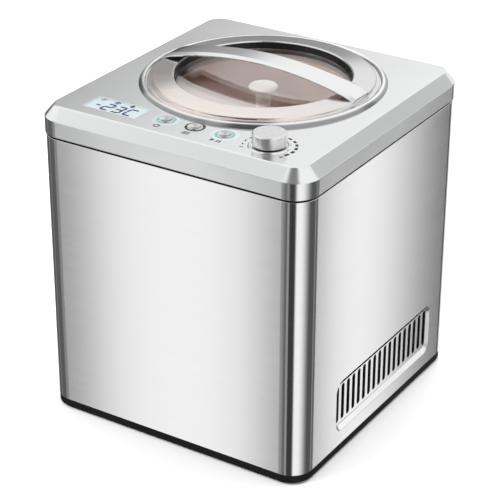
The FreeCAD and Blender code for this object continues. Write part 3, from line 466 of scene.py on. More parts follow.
def lid_band():
    f = Finish("lid_band", (0.78, 0.78, 0.78), 1.0, 0.12)
    haze = f.noise(55.0, 2.0)
    # Painted reflection: the base colour turns warm pink towards the front of the band.
    front = f.node("ShaderNodeMapRange", {}, [f.axis(1), -0.088, 0.0, 1.0, 0.0])
    f.set("Base Color", f.blend(front, (0.80, 0.80, 0.80), (0.93, 0.84, 0.79)))
    f.set("Roughness", f.spread(haze, 0.10, 0.16))
    f.set("Alpha", f.spread(haze, 0.86, 0.90))
    return f.material


def painted_shade_inner():
    # Painted shade: near-black stands in for the shade on the lid's inner wall.
    f = Finish("painted_shade_inner", (0.006, 0.006, 0.007), 0.0, 0.25, specular_ior_level=0.25)
    f.set("Roughness", f.spread(f.noise(90.0, 3.0), 0.2, 0.35))
    return f.material


def moulded(name, colour, roughness, grain=900.0, depth=0.02 * MM, **constants):
    """Moulded plastic or rubber with a fine grain."""
    f = Finish(name, colour, 0.0, roughness, **constants)
    spot = f.noise(grain, 2.0)
    lighter = tuple(min(1.0, c * 1.12 + 0.004) for c in colour)
    darker = tuple(c * 0.9 for c in colour)
    f.set("Base Color", f.blend(spot, darker, lighter))
    f.set("Roughness", f.spread(f.noise(35.0, 3.0), roughness - 0.05, roughness + 0.06))
    f.relief(spot, 0.25, depth)
    return f.material


def metal(name, colour, roughness, stretch=(1, 1, 1), grain=120.0, depth=0.02 * MM):
    """Machined, drawn or painted metal with a directional grain."""
    f = Finish(name, colour, 1.0, roughness)
    grain_map = f.noise(grain, 5.0, stretch, 0.6)
    lighter = tuple(min(1.0, c * 1.1) for c in colour)
    darker = tuple(c * 0.86 for c in colour)
    f.set("Base Color", f.blend(grain_map, darker, lighter))
    f.set("Roughness", f.spread(grain_map, roughness - 0.06, roughness + 0.08))
    f.relief(grain_map, 0.15, depth)
    return f.material


def spun(name, colour, roughness, at, pitch=0.18 * MM):
    """Lathe-turned face: fine rings about the part's own axis, and a painted reflection bow-tie in
    the base colour.
    """
    f = Finish(name, colour, 1.0, roughness)
    inputs = {"Vector": f.coords(), "Location": (-at.x, -at.y, 0.0)}
    moved = f.node("ShaderNodeMapping", {}, inputs)
    x = f.node("ShaderNodeSeparateXYZ", {}, [moved], 0)
    y = f.node("ShaderNodeSeparateXYZ", {}, [moved], 1)
    radius = (x * x + y * y).math("SQRT")
    rings = (radius * (2 * math.pi / pitch)).math("SINE") * 0.5 + 0.5
    # Painted reflection: two bright and two dark sectors round the axis stand in for the bow-tie of
    # light on spun metal.
    turn = y.math("ARCTAN2", x)
    bowtie_painted_reflection = (turn * 2.0 + 0.6).math("SINE") * 0.5 + 0.5
    f.set("Base Color", f.blend(bowtie_painted_reflection, tuple(c * 0.62 for c in colour), colour))
    f.set("Roughness", f.spread(rings, roughness - 0.03, roughness + 0.05))
    f.relief(rings, 0.2, 0.01 * MM)
    return f.material


def glowing(name, colour, strength, roughness=0.3):
    f = Finish(name, colour, 0.0, roughness)
    cloud = f.noise(60.0, 2.0)
    f.set("Base Color", (0.03, 0.035, 0.035, 1.0))
    f.set("Emission Color", f.blend(cloud, tuple(c * 0.93 for c in colour), colour))
    f.set("Emission Strength", strength)
    return f.material


def pane(name, colour, alpha):
    f = Finish(name, colour, 0.0, 0.04)
    f.set("Alpha", f.spread(f.noise(50.0, 2.0), alpha - 0.02, alpha + 0.02))
    f.set("Roughness", f.spread(f.noise(80.0, 2.0), 0.03, 0.07))
    return f.material


def bowl_coat():
    """Brown non-stick coating inside the bowl, plain satin aluminium outside."""
    f = Finish("bowl_coat", (0.44, 0.20, 0.11), 0.0, 0.4)
    x, y = f.axis(0), f.axis(1) - WELL.y
    radius = (x * x + y * y).math("SQRT")
    inside = radius.edge(79.4 * MM, 79.0 * MM) * f.axis(2).above(BOWL_LOW.z + 0.9 * MM)
    spot = f.noise(900.0, 2.0)
    coat = f.blend(spot, (0.32, 0.125, 0.06), (0.40, 0.16, 0.08))
    f.set("Base Color", f.blend(inside, (0.72, 0.715, 0.70), coat))
    f.set("Metallic", 1.0 - inside)
    f.set("Roughness", f.spread(f.noise(35.0, 3.0), 0.35, 0.46))
    return f.material


def circuit_board():
    f = Finish("circuit_board", (0.03, 0.2, 0.09), 0.0, 0.4)
    tracks = f.node("ShaderNodeTexVoronoi", {"feature": "DISTANCE_TO_EDGE"},
                    {"Vector": f.coords(), "Scale": 160.0})
    f.set("Base Color", f.blend(tracks.above(0.06), (0.10, 0.36, 0.16), (0.02, 0.16, 0.07)))
    f.set("Roughness", f.spread(f.noise(200.0, 2.0), 0.35, 0.5))
    return f.material


def foam():
    f = Finish("foam", (0.82, 0.74, 0.5), 0.0, 0.9)
    cells = f.node("ShaderNodeTexVoronoi", {}, {"Vector": f.coords(), "Scale": 420.0})
    f.set("Base Color", f.blend(cells, (0.88, 0.81, 0.58), (0.66, 0.56, 0.34)))
    f.relief(cells, 0.5, 0.3 * MM)
    return f.material


STEEL = steel_wrap()
SILVER = silver_cover()
TRIM = bright_trim()
COLLAR_METAL = collar_metal()
HANDLE_METAL = handle_metal()
WINDOW_CLEAR = clear_lid("window_clear", 0.22, (0.95, 0.90, 0.88))
LID_BAND = lid_band()
PAINTED_SHADE_INNER = painted_shade_inner()
BLACK = moulded("black_plastic", (0.005, 0.005, 0.0055), 0.5, specular_ior_level=0.15)
RUBBER = moulded("rubber", (0.03, 0.03, 0.031), 0.75)
SILICONE = moulded("silicone", (0.55, 0.54, 0.52), 0.5)
WHITE = moulded("white_plastic", (0.96, 0.92, 0.84), 0.35, depth=0.01 * MM)
NYLON = moulded("nylon", (0.80, 0.79, 0.74), 0.5)
INK = moulded("ink", (0.006, 0.006, 0.007), 0.55)
SEGMENT = moulded("segment", (0.02, 0.025, 0.09), 0.4)
BOWL_COAT = bowl_coat()
WELL_METAL = metal("bowl_metal", (0.70, 0.69, 0.68), 0.35)
COPPER = metal("copper_tube", (0.78, 0.42, 0.27), 0.3)
STEEL_PART = metal("steel_part", (0.60, 0.60, 0.61), 0.3)
ZINC = metal("zinc_sheet", (0.62, 0.63, 0.64), 0.42, grain=25.0)
BRASS = metal("brass_part", (0.80, 0.62, 0.30), 0.28)
FINS = metal("fin_metal", (0.76, 0.77, 0.78), 0.4)
MOTOR = metal("motor_shell", (0.42, 0.43, 0.44), 0.45)
BLACK_PAINT = moulded("black_paint", (0.02, 0.02, 0.022), 0.3)
DARK_RING = metal("dark_ring", (0.10, 0.10, 0.11), 0.2)
LENS = pane("display_glass", (0.6, 0.66, 0.68), 0.05)
LIT_FACE = glowing("display_face", (0.80, 0.93, 0.96), 0.80)
LIT_RING = glowing("light_ring", (0.45, 0.78, 0.74), 0.62)
BOARD = circuit_board()
FOAM = foam()
KNOB_METAL = metal("knob_metal", (0.84, 0.84, 0.845), 0.30, (1, 1, 0.04), 300.0, 0.002 * MM)

CAD_FINISH = {
    "black_plastic": BLACK, "rubber": RUBBER, "silicone": SILICONE, "steel_part": STEEL_PART,
    "zinc_sheet": ZINC, "nylon": NYLON, "brass_part": BRASS, "fin_metal": FINS,
    "motor_shell": MOTOR, "black_paint": BLACK_PAINT, "copper_tube": COPPER,
    "circuit_board": BOARD, "foam": FOAM, "bowl_metal": WELL_METAL, "white_plastic": WHITE,
    "steel_wrap": STEEL, "silver_cover": SILVER, "bright_trim": TRIM, "lid_band": LID_BAND,
    "clear_window": WINDOW_CLEAR, "display_glass": LENS, "display_face": LIT_FACE,
    "spun_metal": KNOB_METAL, "light_ring": LIT_RING, "dark_ring": DARK_RING,
}


def paint_cad_nodes():
    slots = {s["node"]: s["material_slot"] for s in frame["record"]["subparts"]}
    for name, obj in frame["nodes"].items():
        obj.data.materials.clear()
        obj.data.materials.append(CAD_FINISH[slots[name]])


# ---- repeated shapes ----------------------------------------------------------------------
def copies_tree(name, inputs, place):
    """Geometry tree that sets copies of the object's own mesh on points placed by place()."""
    tree = bpy.data.node_groups.new(name, "GeometryNodeTree")
    tree.interface.new_socket("Geometry", in_out="INPUT", socket_type="NodeSocketGeometry")
    for label, kind, value in inputs:
        socket = tree.interface.new_socket(label, in_out="INPUT", socket_type=kind)
        if value is not None:
            socket.default_value = value
    tree.interface.new_socket("Geometry", in_out="OUTPUT", socket_type="NodeSocketGeometry")
    source = tree.nodes.new("NodeGroupInput")
    points, rotation, scale = place(tree, source)
    instance = tree.nodes.new("GeometryNodeInstanceOnPoints")
    realize = tree.nodes.new("GeometryNodeRealizeInstances")
    paint = tree.nodes.new("GeometryNodeSetMaterial")
    target = tree.nodes.new("NodeGroupOutput")
    tree.links.new(points, instance.inputs["Points"])
    tree.links.new(source.outputs["Geometry"], instance.inputs["Instance"])
    if rotation is not None:
        tree.links.new(rotation, instance.inputs["Rotation"])
    if scale is not None:
        tree.links.new(scale, instance.inputs["Scale"])
    tree.links.new(instance.outputs[0], realize.inputs[0])
    tree.links.new(realize.outputs[0], paint.inputs["Geometry"])
    tree.links.new(source.outputs["Material"], paint.inputs["Material"])
    tree.links.new(paint.outputs[0], target.inputs[0])
    return tree


def place_in_row(tree, source):
    line = tree.nodes.new("GeometryNodeMeshLine")
    tree.links.new(source.outputs["Count"], line.inputs["Count"])
    tree.links.new(source.outputs["Step"], line.inputs["Offset"])
    return line.outputs[0], None, None


def place_on_arc(tree, source):
    """Points on an arc, turned to face its centre and growing from the first to the last."""
    line = tree.nodes.new("GeometryNodeMeshLine")
    tree.links.new(source.outputs["Count"], line.inputs["Count"])
    index = tree.nodes.new("GeometryNodeInputIndex").outputs[0]

    def number(operation, a, b=0.0):
        node = tree.nodes.new("ShaderNodeMath")
        node.operation = operation
        for socket, value in zip(node.inputs, (a, b)):
            if isinstance(value, float):
                socket.default_value = value
            else:
                tree.links.new(value, socket)
        return node.outputs[0]

    last = number("SUBTRACT", source.outputs["Count"], 1.0)
    share = number("DIVIDE", index, last)
    angle = number("ADD", source.outputs["Start"],
                   number("MULTIPLY", share, source.outputs["Sweep"]))
    where = tree.nodes.new("ShaderNodeCombineXYZ")
    tree.links.new(number("MULTIPLY", number("COSINE", angle), source.outputs["Radius"]),
                   where.inputs[0])
    tree.links.new(number("MULTIPLY", number("SINE", angle), source.outputs["Radius"]),
                   where.inputs[1])
    tree.links.new(number("ADD", source.outputs["Height"], 0.0), where.inputs[2])
    put = tree.nodes.new("GeometryNodeSetPosition")
    tree.links.new(line.outputs[0], put.inputs["Geometry"])
    tree.links.new(where.outputs[0], put.inputs["Position"])
    spin = tree.nodes.new("ShaderNodeCombineXYZ")
    tree.links.new(angle, spin.inputs[2])
    growth = number("SUBTRACT", source.outputs["Growth"], 1.0)
    size = number("ADD", number("MULTIPLY", share, growth), 1.0)
    stretch = tree.nodes.new("ShaderNodeCombineXYZ")
    tree.links.new(size, stretch.inputs[0])
    tree.links.new(number("POWER", size, 0.5), stretch.inputs[1])
    stretch.inputs[2].default_value = 1.0
    return put.outputs[0], spin.outputs[0], stretch.outputs[0]


ROW_TREE = copies_tree(
    "row_of_copies",
    [("Count", "NodeSocketInt", 2), ("Step", "NodeSocketVector", None),
     ("Material", "NodeSocketMaterial", None)],
    place_in_row,
)
ARC_TREE = copies_tree(
    "arc_of_copies",
    [("Count", "NodeSocketInt", 2), ("Radius", "NodeSocketFloat", 0.02),
     ("Start", "NodeSocketFloat", 0.0), ("Sweep", "NodeSocketFloat", 1.0),
     ("Growth", "NodeSocketFloat", 1.0), ("Height", "NodeSocketFloat", 0.0),
     ("Material", "NodeSocketMaterial", None)],
    place_on_arc,
)


def grow(obj, tree, **values):
    """Run a geometry tree on the object and keep the plain mesh."""
    modifier = obj.modifiers.new(tree.name, "NODES")
    modifier.node_group = tree
    for item in tree.interface.items_tree:
        if item.in_out == "INPUT" and item.name in values:
            modifier[item.identifier] = values[item.name]
    return settle(obj)


# ---- casing -------------------------------------------------------------------------------
def side_place(side, depth_sign=-1):
    """Point maker for a side wall: u along Y, v up, w inward from the sheet's face."""
    face = WRAP_HIGH.x
    return lambda u, v, w: (side * (face + depth_sign * w), u, v)


def vent_outline(inset, steps=8):
    width = VENT_Y[1] - VENT_Y[0] - 2 * VENT_END_SHARE * inset
    height = VENT_Z[1] - VENT_Z[0] - 2 * inset
    return rounded_rectangle(width, height, VENT_R - inset, steps, 0.5 * MM,
                             sum(VENT_Y) / 2, sum(VENT_Z) / 2)


def steel_casing():
    """The wrapped sheet with its vent openings and inlet opening cut out."""
    width, depth = WRAP_HIGH.x - WRAP_LOW.x, WRAP_HIGH.y - WRAP_LOW.y
    radius = CORNER - OVERHANG
    edge = 0.4 * MM
    path = softened([(0, WRAP_LOW.z, edge), (0, WRAP_HIGH.z, edge), (SHEET, WRAP_HIGH.z, edge),
                     (SHEET, WRAP_LOW.z, edge)], 3)
    casing = mesh_object("steel_casing", skin(box_rings(path, width, depth, radius, 18), True))
    through = WIDTH / 2 + 10 * MM
    tool = prism(vent_outline(0.0), -through, through, lambda u, v, w: (w, u, v))
    carve(casing, mesh_object("vent_tool", tool))
    inlet = rounded_rectangle(48.4 * MM, 26.4 * MM, 1.0 * MM, 3, 0.2 * MM,
                              (INLET_LOW.x + INLET_HIGH.x) / 2, (INLET_LOW.z + INLET_HIGH.z) / 2)
    tool = prism(inlet, DEPTH / 2 - 10 * MM, DEPTH / 2 + 10 * MM, lambda u, v, w: (u, w, v))
    carve(casing, mesh_object("inlet_tool", tool))
    return finish_piece(casing, STEEL, "housing", "steel_wrap", "outer_housing")


def vent_panel(side):
    """Pressed pan with a sloping rim and a row of round-ended slots."""
    place = side_place(side)
    d = VENT_DEPTH
    rim = softened([(0.0, -0.02 * MM, 0.0), (0.0, 0.25 * MM, 0.3 * MM), (VENT_SLOPE, d, 1.4 * MM),
                    (VENT_SLOPE + 4.0 * MM, d, 0.0)], 5, 0.3 * MM, False)
    front = [[place(u, v, w) for u, v in vent_outline(inset)] for inset, w in rim]
    back = [[place(u, v, w + SHEET) for u, v in vent_outline(inset)] for inset, w in reversed(rim)]
    bm = bmesh.new()
    rows = [[bm.verts.new(p) for p in row] for row in front + back]
    count = len(rows[0])
    turn = len(front) - 1
    for k in range(len(rows)):
        if k == turn:
            continue
        low, high = rows[k], rows[(k + 1) % len(rows)]
        for i in range(count):
            j = (i + 1) % count
            bm.faces.new((low[i], low[j], high[j], high[i]))
    bm.faces.new(rows[turn])
    bm.faces.new(rows[turn + 1])
    bmesh.ops.recalc_face_normals(bm, faces=bm.faces)
    name = "vent_panel_right" if side > 0 else "vent_panel_left"
    panel = mesh_object(name, bm)
    centre = sum(VENT_Y) / 2 + SLOT_SHIFT
    first = centre - (SLOTS - 1) / 2 * SLOT_PITCH
    height = SLOT_Z[1] - SLOT_Z[0]
    slot = rounded_rectangle(SLOT_WIDTH, height, SLOT_WIDTH / 2 - 0.01 * MM, 8, 0.005 * MM,
                             first, sum(SLOT_Z) / 2)
    tool = mesh_object("slot_tool", prism(slot, -5 * MM, 12 * MM, place))
    grow(tool, ROW_TREE, Count=SLOTS, Step=(0.0, SLOT_PITCH, 0.0), Material=STEEL)
    carve(panel, tool)
    soften_edges(panel, 0.45 * MM, 2, 60.0)
    return finish_piece(panel, STEEL, "housing", "steel_wrap", sharp=50.0)


def vent_shade_sheet(side):
    """Dark sheet close behind the slots: painted shade, so the slots read black."""
    place = side_place(side)
    outline = vent_outline(VENT_SLOPE + 2.0 * MM)
    low = VENT_DEPTH + SHEET + 1.2 * MM
    bm = prism(outline, low, low + 0.6 * MM, place)
    name = "vent_shade_sheet_right" if side > 0 else "vent_shade_sheet_left"
    return finish_piece(mesh_object(name, bm), BLACK, "housing", "black_plastic")


def cover_rows():
    """Outside of the cover from its lower edge to the round opening, then back inside."""
    face_r = CORNER
    outside = softened(
        [(COVER_WALL, SEAM, 0.3 * MM), (0.0, SEAM, 0.8 * MM), (0.0, TOP - BEVEL_DROP, 1.6 * MM),
         (BEVEL_INSET, TOP, 2.2 * MM), (BEVEL_INSET + 6.0 * MM, TOP, 0.0)], 5, 0.5 * MM, False)
    inside = [(BEVEL_INSET + 6.0 * MM, TOP - COVER_WALL),
              (BEVEL_INSET + COVER_WALL, TOP - COVER_WALL),
              (COVER_WALL, TOP - BEVEL_DROP - COVER_WALL / 2)]
    rows = [divided(row) for row in box_rings(outside, WIDTH, DEPTH, face_r, 18)]
    inner_rows = [divided(row) for row in box_rings(inside, WIDTH, DEPTH, face_r, 18)]
    hole = COLLAR_R - 6.0 * MM

    def circle(z):
        ring = []
        for x, y, _ in rows[-1]:
            direction = Vector((x - WELL.x, y - WELL.y)).normalized() * hole
            ring.append((WELL.x + direction.x, WELL.y + direction.y, z))
        return ring

    return rows + [circle(TOP), circle(TOP - COVER_WALL)] + inner_rows


def top_cover():
    cover = mesh_object("cover_shell", skin(cover_rows(), True))
    lens = middle("display_lens")
    window = rounded_rectangle(LENS_HIGH.x - LENS_LOW.x + 0.5 * MM,
                               LENS_HIGH.y - LENS_LOW.y + 0.5 * MM,
                               1.4 * MM, 4, 0.2 * MM, lens.x, lens.y)
    low, high = TOP - 2 * COVER_WALL, TOP + 5 * MM
    upright = lambda u, v, w: (u, v, w)
    carve(cover, mesh_object("window_tool", prism(window, low, high, upright)))
    for name in BUTTONS:
        at = middle(name + "_button_ring")
        lo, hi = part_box(name + "_button_ring")
        r = (hi.x - lo.x) / 2 + 0.05 * MM
        turns = [2 * math.pi * i / HOLE_SIDES for i in range(HOLE_SIDES)]
        hole = [(at.x + r * math.cos(a), at.y + r * math.sin(a)) for a in turns]
        carve(cover, mesh_object("button_tool", prism(hole, low, high, upright)))
    return finish_piece(cover, SILVER, "housing", "silver_cover", "top_cover")


def seam_shadow():
    """Black strip inside the seam line: painted shadow in the gap between the cover and the wrap.
    """
    inset = SHEET
    path = [(inset, SEAM - 5 * MM), (inset, SEAM + 2 * MM), (inset + 1.5 * MM, SEAM + 2 * MM),
            (inset + 1.5 * MM, SEAM - 5 * MM)]
    rows = box_rings(path, WRAP_HIGH.x - WRAP_LOW.x, WRAP_HIGH.y - WRAP_LOW.y, CORNER - OVERHANG)
    return finish_piece(mesh_object("seam_shadow_strip", skin(rows, True)), BLACK, "housing",
                        "black_plastic")


def base_shell():
    width, depth = TRAY_HIGH.x - TRAY_LOW.x, TRAY_HIGH.y - TRAY_LOW.y
    low, high = TRAY_LOW.z - 1.4 * MM, WRAP_LOW.z
    out = -1.0 * MM
    path = softened([(14 * MM, low, 0.5 * MM), (1.2 * MM, low, 1.5 * MM),
                     (out, low + 2.0 * MM, 1.5 * MM),
                     (out, high - 0.1 * MM, 0.2 * MM), (14 * MM, high - 0.1 * MM, 0.5 * MM)], 4)
    rows = box_rings(path, width, depth, CORNER - OVERHANG - 1.2 * MM)
    return finish_piece(mesh_object("base_shell", skin(rows, True)), BLACK, "housing",
                        "black_plastic")


def collar():
    top = COLLAR_HIGH.z
    ledge_r = COLLAR_R - 6.2 * MM
    inner_r = COLLAR_R - 19.0 * MM
    ledge = TOP + 0.6 * MM
    path = softened(
        [(COLLAR_R, TOP - 0.1 * MM, 0.0), (COLLAR_R, TOP + 0.2 * MM, 0.2 * MM),
         (COLLAR_R - 2.4 * MM, top - 0.8 * MM, 1.6 * MM), (COLLAR_R - 3.2 * MM, top, 0.9 * MM),
         (ledge_r + 0.8 * MM, top, 1.0 * MM), (ledge_r, top - 1.4 * MM, 0.6 * MM),
         (ledge_r, ledge, 0.4 * MM), (inner_r, ledge, 0.6 * MM), (inner_r, COLLAR_LOW.z, 0.5 * MM),
         (COLLAR_R - 8.5 * MM, COLLAR_LOW.z, 0.5 * MM), (COLLAR_R - 8.5 * MM, TOP - 0.1 * MM, 0.0)],
         5)
    bm = turned(path, 192, WELL.x, WELL.y)
    return finish_piece(mesh_object("collar", bm), COLLAR_METAL, "housing", "bright_trim",
                        "trim_collar")


# ---- lid ----------------------------------------------------------------------------------
BAND_OUT = LID_R - 5.0 * MM
BAND_RISE = 6.0 * MM
BAND_SLOPE = 1.6 * MM


def lid_band_ring():
    """Clear flange, upright wall and wide sloping band of the lid."""
    z = TOP
    inner_top = z + BAND_RISE + BAND_SLOPE
    path = softened(
        [(LID_R, z + 1.0 * MM, 0.2 * MM), (LID_R, z + 2.3 * MM, 0.5 * MM),
         (LID_R - 3.4 * MM, z + 2.6 * MM, 0.6 * MM),
         (LID_R - 3.9 * MM, z + BAND_RISE - 0.4 * MM, 1.3 * MM),
         (BAND_OUT - 0.6 * MM, z + BAND_RISE, 0.8 * MM), (WINDOW_R + 0.6 * MM, inner_top, 0.9 * MM),
         (WINDOW_R - 0.7 * MM, inner_top - 1.1 * MM, 0.3 * MM),
         (WINDOW_R + 0.9 * MM, inner_top - 2.0 * MM, 0.3 * MM),
         (LID_R - 7.0 * MM, z + BAND_RISE - 2.4 * MM, 0.4 * MM),
         (LID_R - 7.0 * MM, z + 1.0 * MM, 0.2 * MM)],
        4)
    bm = turned(path, 192, WELL.x, WELL.y)
    return finish_piece(mesh_object("lid_band_ring", bm), LID_BAND, "lid", "lid_band", "lid_ring")


def lid_inner_wall():
    """Wall from the band down to the window, near-black as painted shade."""
    inner_top = TOP + BAND_RISE + BAND_SLOPE
    path = softened(
        [(WINDOW_R - 0.8 * MM, inner_top - 1.2 * MM, 0.2 * MM),
         (WINDOW_R - 2.7 * MM, WINDOW_TOP, 0.3 * MM),
         (WINDOW_R, WINDOW_TOP, 0.2 * MM), (WINDOW_R + 0.8 * MM, inner_top - 2.0 * MM, 0.2 * MM)],
         3)
    bm = turned(path, 160, WELL.x, WELL.y)
    return finish_piece(mesh_object("lid_inner_wall", bm), PAINTED_SHADE_INNER, "lid", "lid_band")


def window():
    low, high = WINDOW_LOW.z, WINDOW_TOP
    path = softened([(0.0, low, 0.0), (WINDOW_R - 0.05 * MM, low, 0.3 * MM),
                     (WINDOW_R - 0.05 * MM, high, 0.3 * MM), (0.0, high, 0.0)], 3, 0.3 * MM, False)
    bm = turned(path, 160, WELL.x, WELL.y, False)
    return finish_piece(mesh_object("window_disc", bm), WINDOW_CLEAR, "lid", "clear_window",
                        "lid_window")


def handle():
    """Arched bridge: crowned top, sloping shoulders, and ends that bend down onto the band."""
    reach = HANDLE_HIGH.x
    rise = HANDLE_HIGH.z - HANDLE_LOW.z
    end_half, mid_half = (HANDLE_HIGH.y - HANDLE_LOW.y) / 2, 13.5 * MM
    end_top = TOP + 8.9 * MM
    arch = HANDLE_HIGH.z - end_top
    thick = 3.4 * MM
    rows = []
    count = 72
    for k in range(count + 1):
        t = -1 + 2 * k / count
        x = reach * math.copysign(abs(t) ** 0.92, t)
        s = abs(x) / reach
        z = HANDLE_HIGH.z - arch * s * s
        drop = max(0.0, (s - 0.86) / 0.14)
        z -= 2.2 * MM * drop * drop
        half = mid_half + (end_half - mid_half) * s ** 2
        half = min(half, math.sqrt(max(0.0, (reach + 0.3 * MM) ** 2 - x * x)) + 9.0 * MM)
        body = thick * (1.0 - 0.35 * drop)
        shoulder = 3.2 * MM + 2.2 * MM * s
        section = softened(
            [(-half, -1.7 * MM, 0.5 * MM), (-half + shoulder, 0.0, 1.2 * MM),
             (half - shoulder, 0.0, 1.2 * MM), (half, -1.7 * MM, 0.5 * MM),
             (half - 1.0 * MM, -body, 0.7 * MM), (-half + 1.0 * MM, -body, 0.7 * MM)], 4)
        crown = [(u, v + 0.35 * MM * max(0.0, 1 - (u / half) ** 2)) for u, v in section]
        rows.append([(x, WELL.y + u, z + v) for u, v in crown])
    bm = skin(rows, False)
    obj = mesh_object("handle_bridge", bm)
    return finish_piece(obj, HANDLE_METAL, "lid", "bright_trim", "lid_handle", sharp=28.0)


# ---- panel --------------------------------------------------------------------------------
def lens():
    lo, hi = LENS_LOW, LENS_HIGH
    at = middle("display_lens")
    path = softened([(0.5 * MM, lo.z, 0.2 * MM), (0.0, lo.z + 0.2 * MM, 0.1 * MM),
                     (0.0, hi.z, 0.2 * MM),
                     (3.0 * MM, hi.z, 0.0)], 3, 0.2 * MM, False)
    rows = []
    for inset, z in path:
        ring = rounded_rectangle(hi.x - lo.x - 2 * inset, hi.y - lo.y - 2 * inset, 1.2 * MM, 5,
                                 0.3 * MM,
                                 at.x, at.y)
        rows.append([(x, y, z) for x, y in ring])
    return finish_piece(mesh_object("display_pane", skin(rows, False)), LENS, "housing",
                        "display_glass",
                        "display_lens")


def flat_shape(bm, outline, z, thick=0.05 * MM):
    """Add a thin closed plate with this outline."""
    low = [bm.verts.new((x, y, z)) for x, y in outline]
    high = [bm.verts.new((x, y, z + thick)) for x, y in outline]
    bm.faces.new(list(reversed(low)))
    bm.faces.new(high)
    for i in range(len(outline)):
        j = (i + 1) % len(outline)
        bm.faces.new((low[i], low[j], high[j], high[i]))


def bar(start, end, width, taper=0.0):
    """Outline of a straight stroke with pointed ends when taper is above 0."""
    a, b = Vector(start), Vector(end)
    along = (b - a).normalized()
    side = Vector((-along.y, along.x)) * width / 2
    tip = along * taper
    if taper:
        return [tuple(a), tuple(a + tip - side), tuple(b - tip - side), tuple(b),
                tuple(b - tip + side),
                tuple(a + tip + side)]
    return [tuple(a - side), tuple(b - side), tuple(b + side), tuple(a + side)]


SEGMENTS = {
    "2": "abged", "3": "abgcd", "C": "afed",
}


def digit_strokes(symbol, x, y, w, h, lean=0.12):
    """Seven-segment strokes as start and end points, from the lower left corner."""
    corners = {"tl": (x + lean * h, y + h), "tr": (x + w + lean * h, y + h),
               "ml": (x + lean * h / 2, y + h / 2),
               "mr": (x + w + lean * h / 2, y + h / 2), "bl": (x, y), "br": (x + w, y)}
    ends = {"a": ("tl", "tr"), "b": ("tr", "mr"), "c": ("mr", "br"), "d": ("bl", "br"),
            "e": ("ml", "bl"),
            "f": ("tl", "ml"), "g": ("ml", "mr")}
    return [(corners[p], corners[q]) for p, q in (ends[s] for s in SEGMENTS[symbol])]


def display_marks():
    """Temperature digits and three small pictures on the lit face."""
    lo, hi = LENS_LOW, LENS_HIGH
    w, h = hi.x - lo.x, hi.y - lo.y
    z = LENS_HIGH.z + 0.01 * MM
    bm = bmesh.new()
    stroke = 2.4 * MM
    base_y = lo.y + 0.11 * h
    tall = 0.50 * h
    for symbol, share in (("2", 0.30), ("3", 0.51), ("C", 0.73)):
        for a, b in digit_strokes(symbol, lo.x + share * w, base_y, 0.135 * w, tall):
            flat_shape(bm, bar(a, b, stroke, 0.8 * MM), z)
    dash_y = base_y + tall * 0.5
    flat_shape(bm, bar((lo.x + 0.15 * w, dash_y), (lo.x + 0.24 * w, dash_y), stroke, 0.8 * MM), z)
    icon_y = lo.y + 0.83 * h
    sun = Vector((lo.x + 0.15 * w, icon_y))
    flower = Vector((lo.x + 0.42 * w, icon_y))
    drop = Vector((lo.x + 0.70 * w, icon_y))
    for k in range(6):
        a = math.pi / 3 * k
        arm = Vector((math.cos(a), math.sin(a)))
        flat_shape(bm, bar(sun + arm * 0.9 * MM, sun + arm * 3.0 * MM, 1.0 * MM), z)
        flat_shape(bm, bar(flower + arm * 0.3 * MM, flower + arm * 3.2 * MM, 1.0 * MM), z)
        tip = flower + arm * 2.2 * MM
        side = Vector((-arm.y, arm.x)) * 1.0 * MM
        flat_shape(bm, bar(tip - side, tip + side, 0.6 * MM), z)
    outline = []
    for k in range(28):
        a = 2 * math.pi * k / 28
        stretch = 1.0 + 0.9 * max(0.0, math.sin(a)) ** 3
        outline.append((drop.x + 2.2 * MM * math.cos(a),
                        drop.y - 0.6 * MM + 2.2 * MM * math.sin(a) * stretch))
    flat_shape(bm, outline, z)
    return finish_piece(mesh_object("display_marks", bm, False), SEGMENT, "housing", "display_face")


def button_cap(name):
    lo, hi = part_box(name + "_button")
    at = middle(name + "_button")
    r = 7.4 * MM
    top = hi.z
    low = TOP - 2.0 * MM
    path = softened([(0.0, low, 0.0), (r, low, 0.2 * MM), (r, top - 0.8 * MM, 0.4 * MM),
                     (r - 0.7 * MM, top, 0.35 * MM), (r - 1.6 * MM, top - 0.05 * MM, 0.5 * MM),
                     (r * 0.5, top - 0.45 * MM, 2.0 * MM), (0.0, top - 0.6 * MM, 0.0)], 5, 0.1 * MM,
                     False)
    bm = turned(path, 96, at.x, at.y, False)
    finish = spun("spun_" + name, (0.80, 0.80, 0.805), 0.22, at)
    return finish_piece(mesh_object(name + "_cap", bm), finish, name + "_button", "spun_metal",
                        name + "_button")


def button_surround(name, material, slot):
    lo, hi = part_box(name + "_button_ring")
    at = middle(name + "_button_ring")
    outer = (hi.x - lo.x) / 2
    inner = outer - 1.75 * MM
    path = softened([(outer, lo.z, 0.2 * MM), (outer, TOP + 0.05 * MM, 0.15 * MM),
                     (outer - 0.5 * MM, hi.z, 0.25 * MM), (inner + 0.4 * MM, hi.z, 0.25 * MM),
                     (inner, hi.z - 0.4 * MM, 0.2 * MM), (inner, lo.z, 0.2 * MM)], 4, 0.1 * MM)
    bm = turned(path, 96, at.x, at.y)
    return finish_piece(mesh_object(name + "_surround", bm), material, "housing", slot,
                        name + "_button_ring")


def knob_cap():
    at = middle("knob")
    r = (KNOB_HIGH.x - KNOB_LOW.x) / 2
    low, top = KNOB_LOW.z, KNOB_HIGH.z
    path = softened([(0.0, low, 0.0), (r - 0.4 * MM, low, 0.3 * MM), (r, low + 0.8 * MM, 0.4 * MM),
                     (r, top - 1.0 * MM, 0.5 * MM), (r - 1.0 * MM, top, 0.5 * MM), (0.0, top, 0.0)],
                    5, 0.15 * MM, False)
    bm = turned(path, 128, at.x, at.y, False)
    return finish_piece(mesh_object("knob_cap", bm), KNOB_METAL, "knob", "spun_metal", "knob")


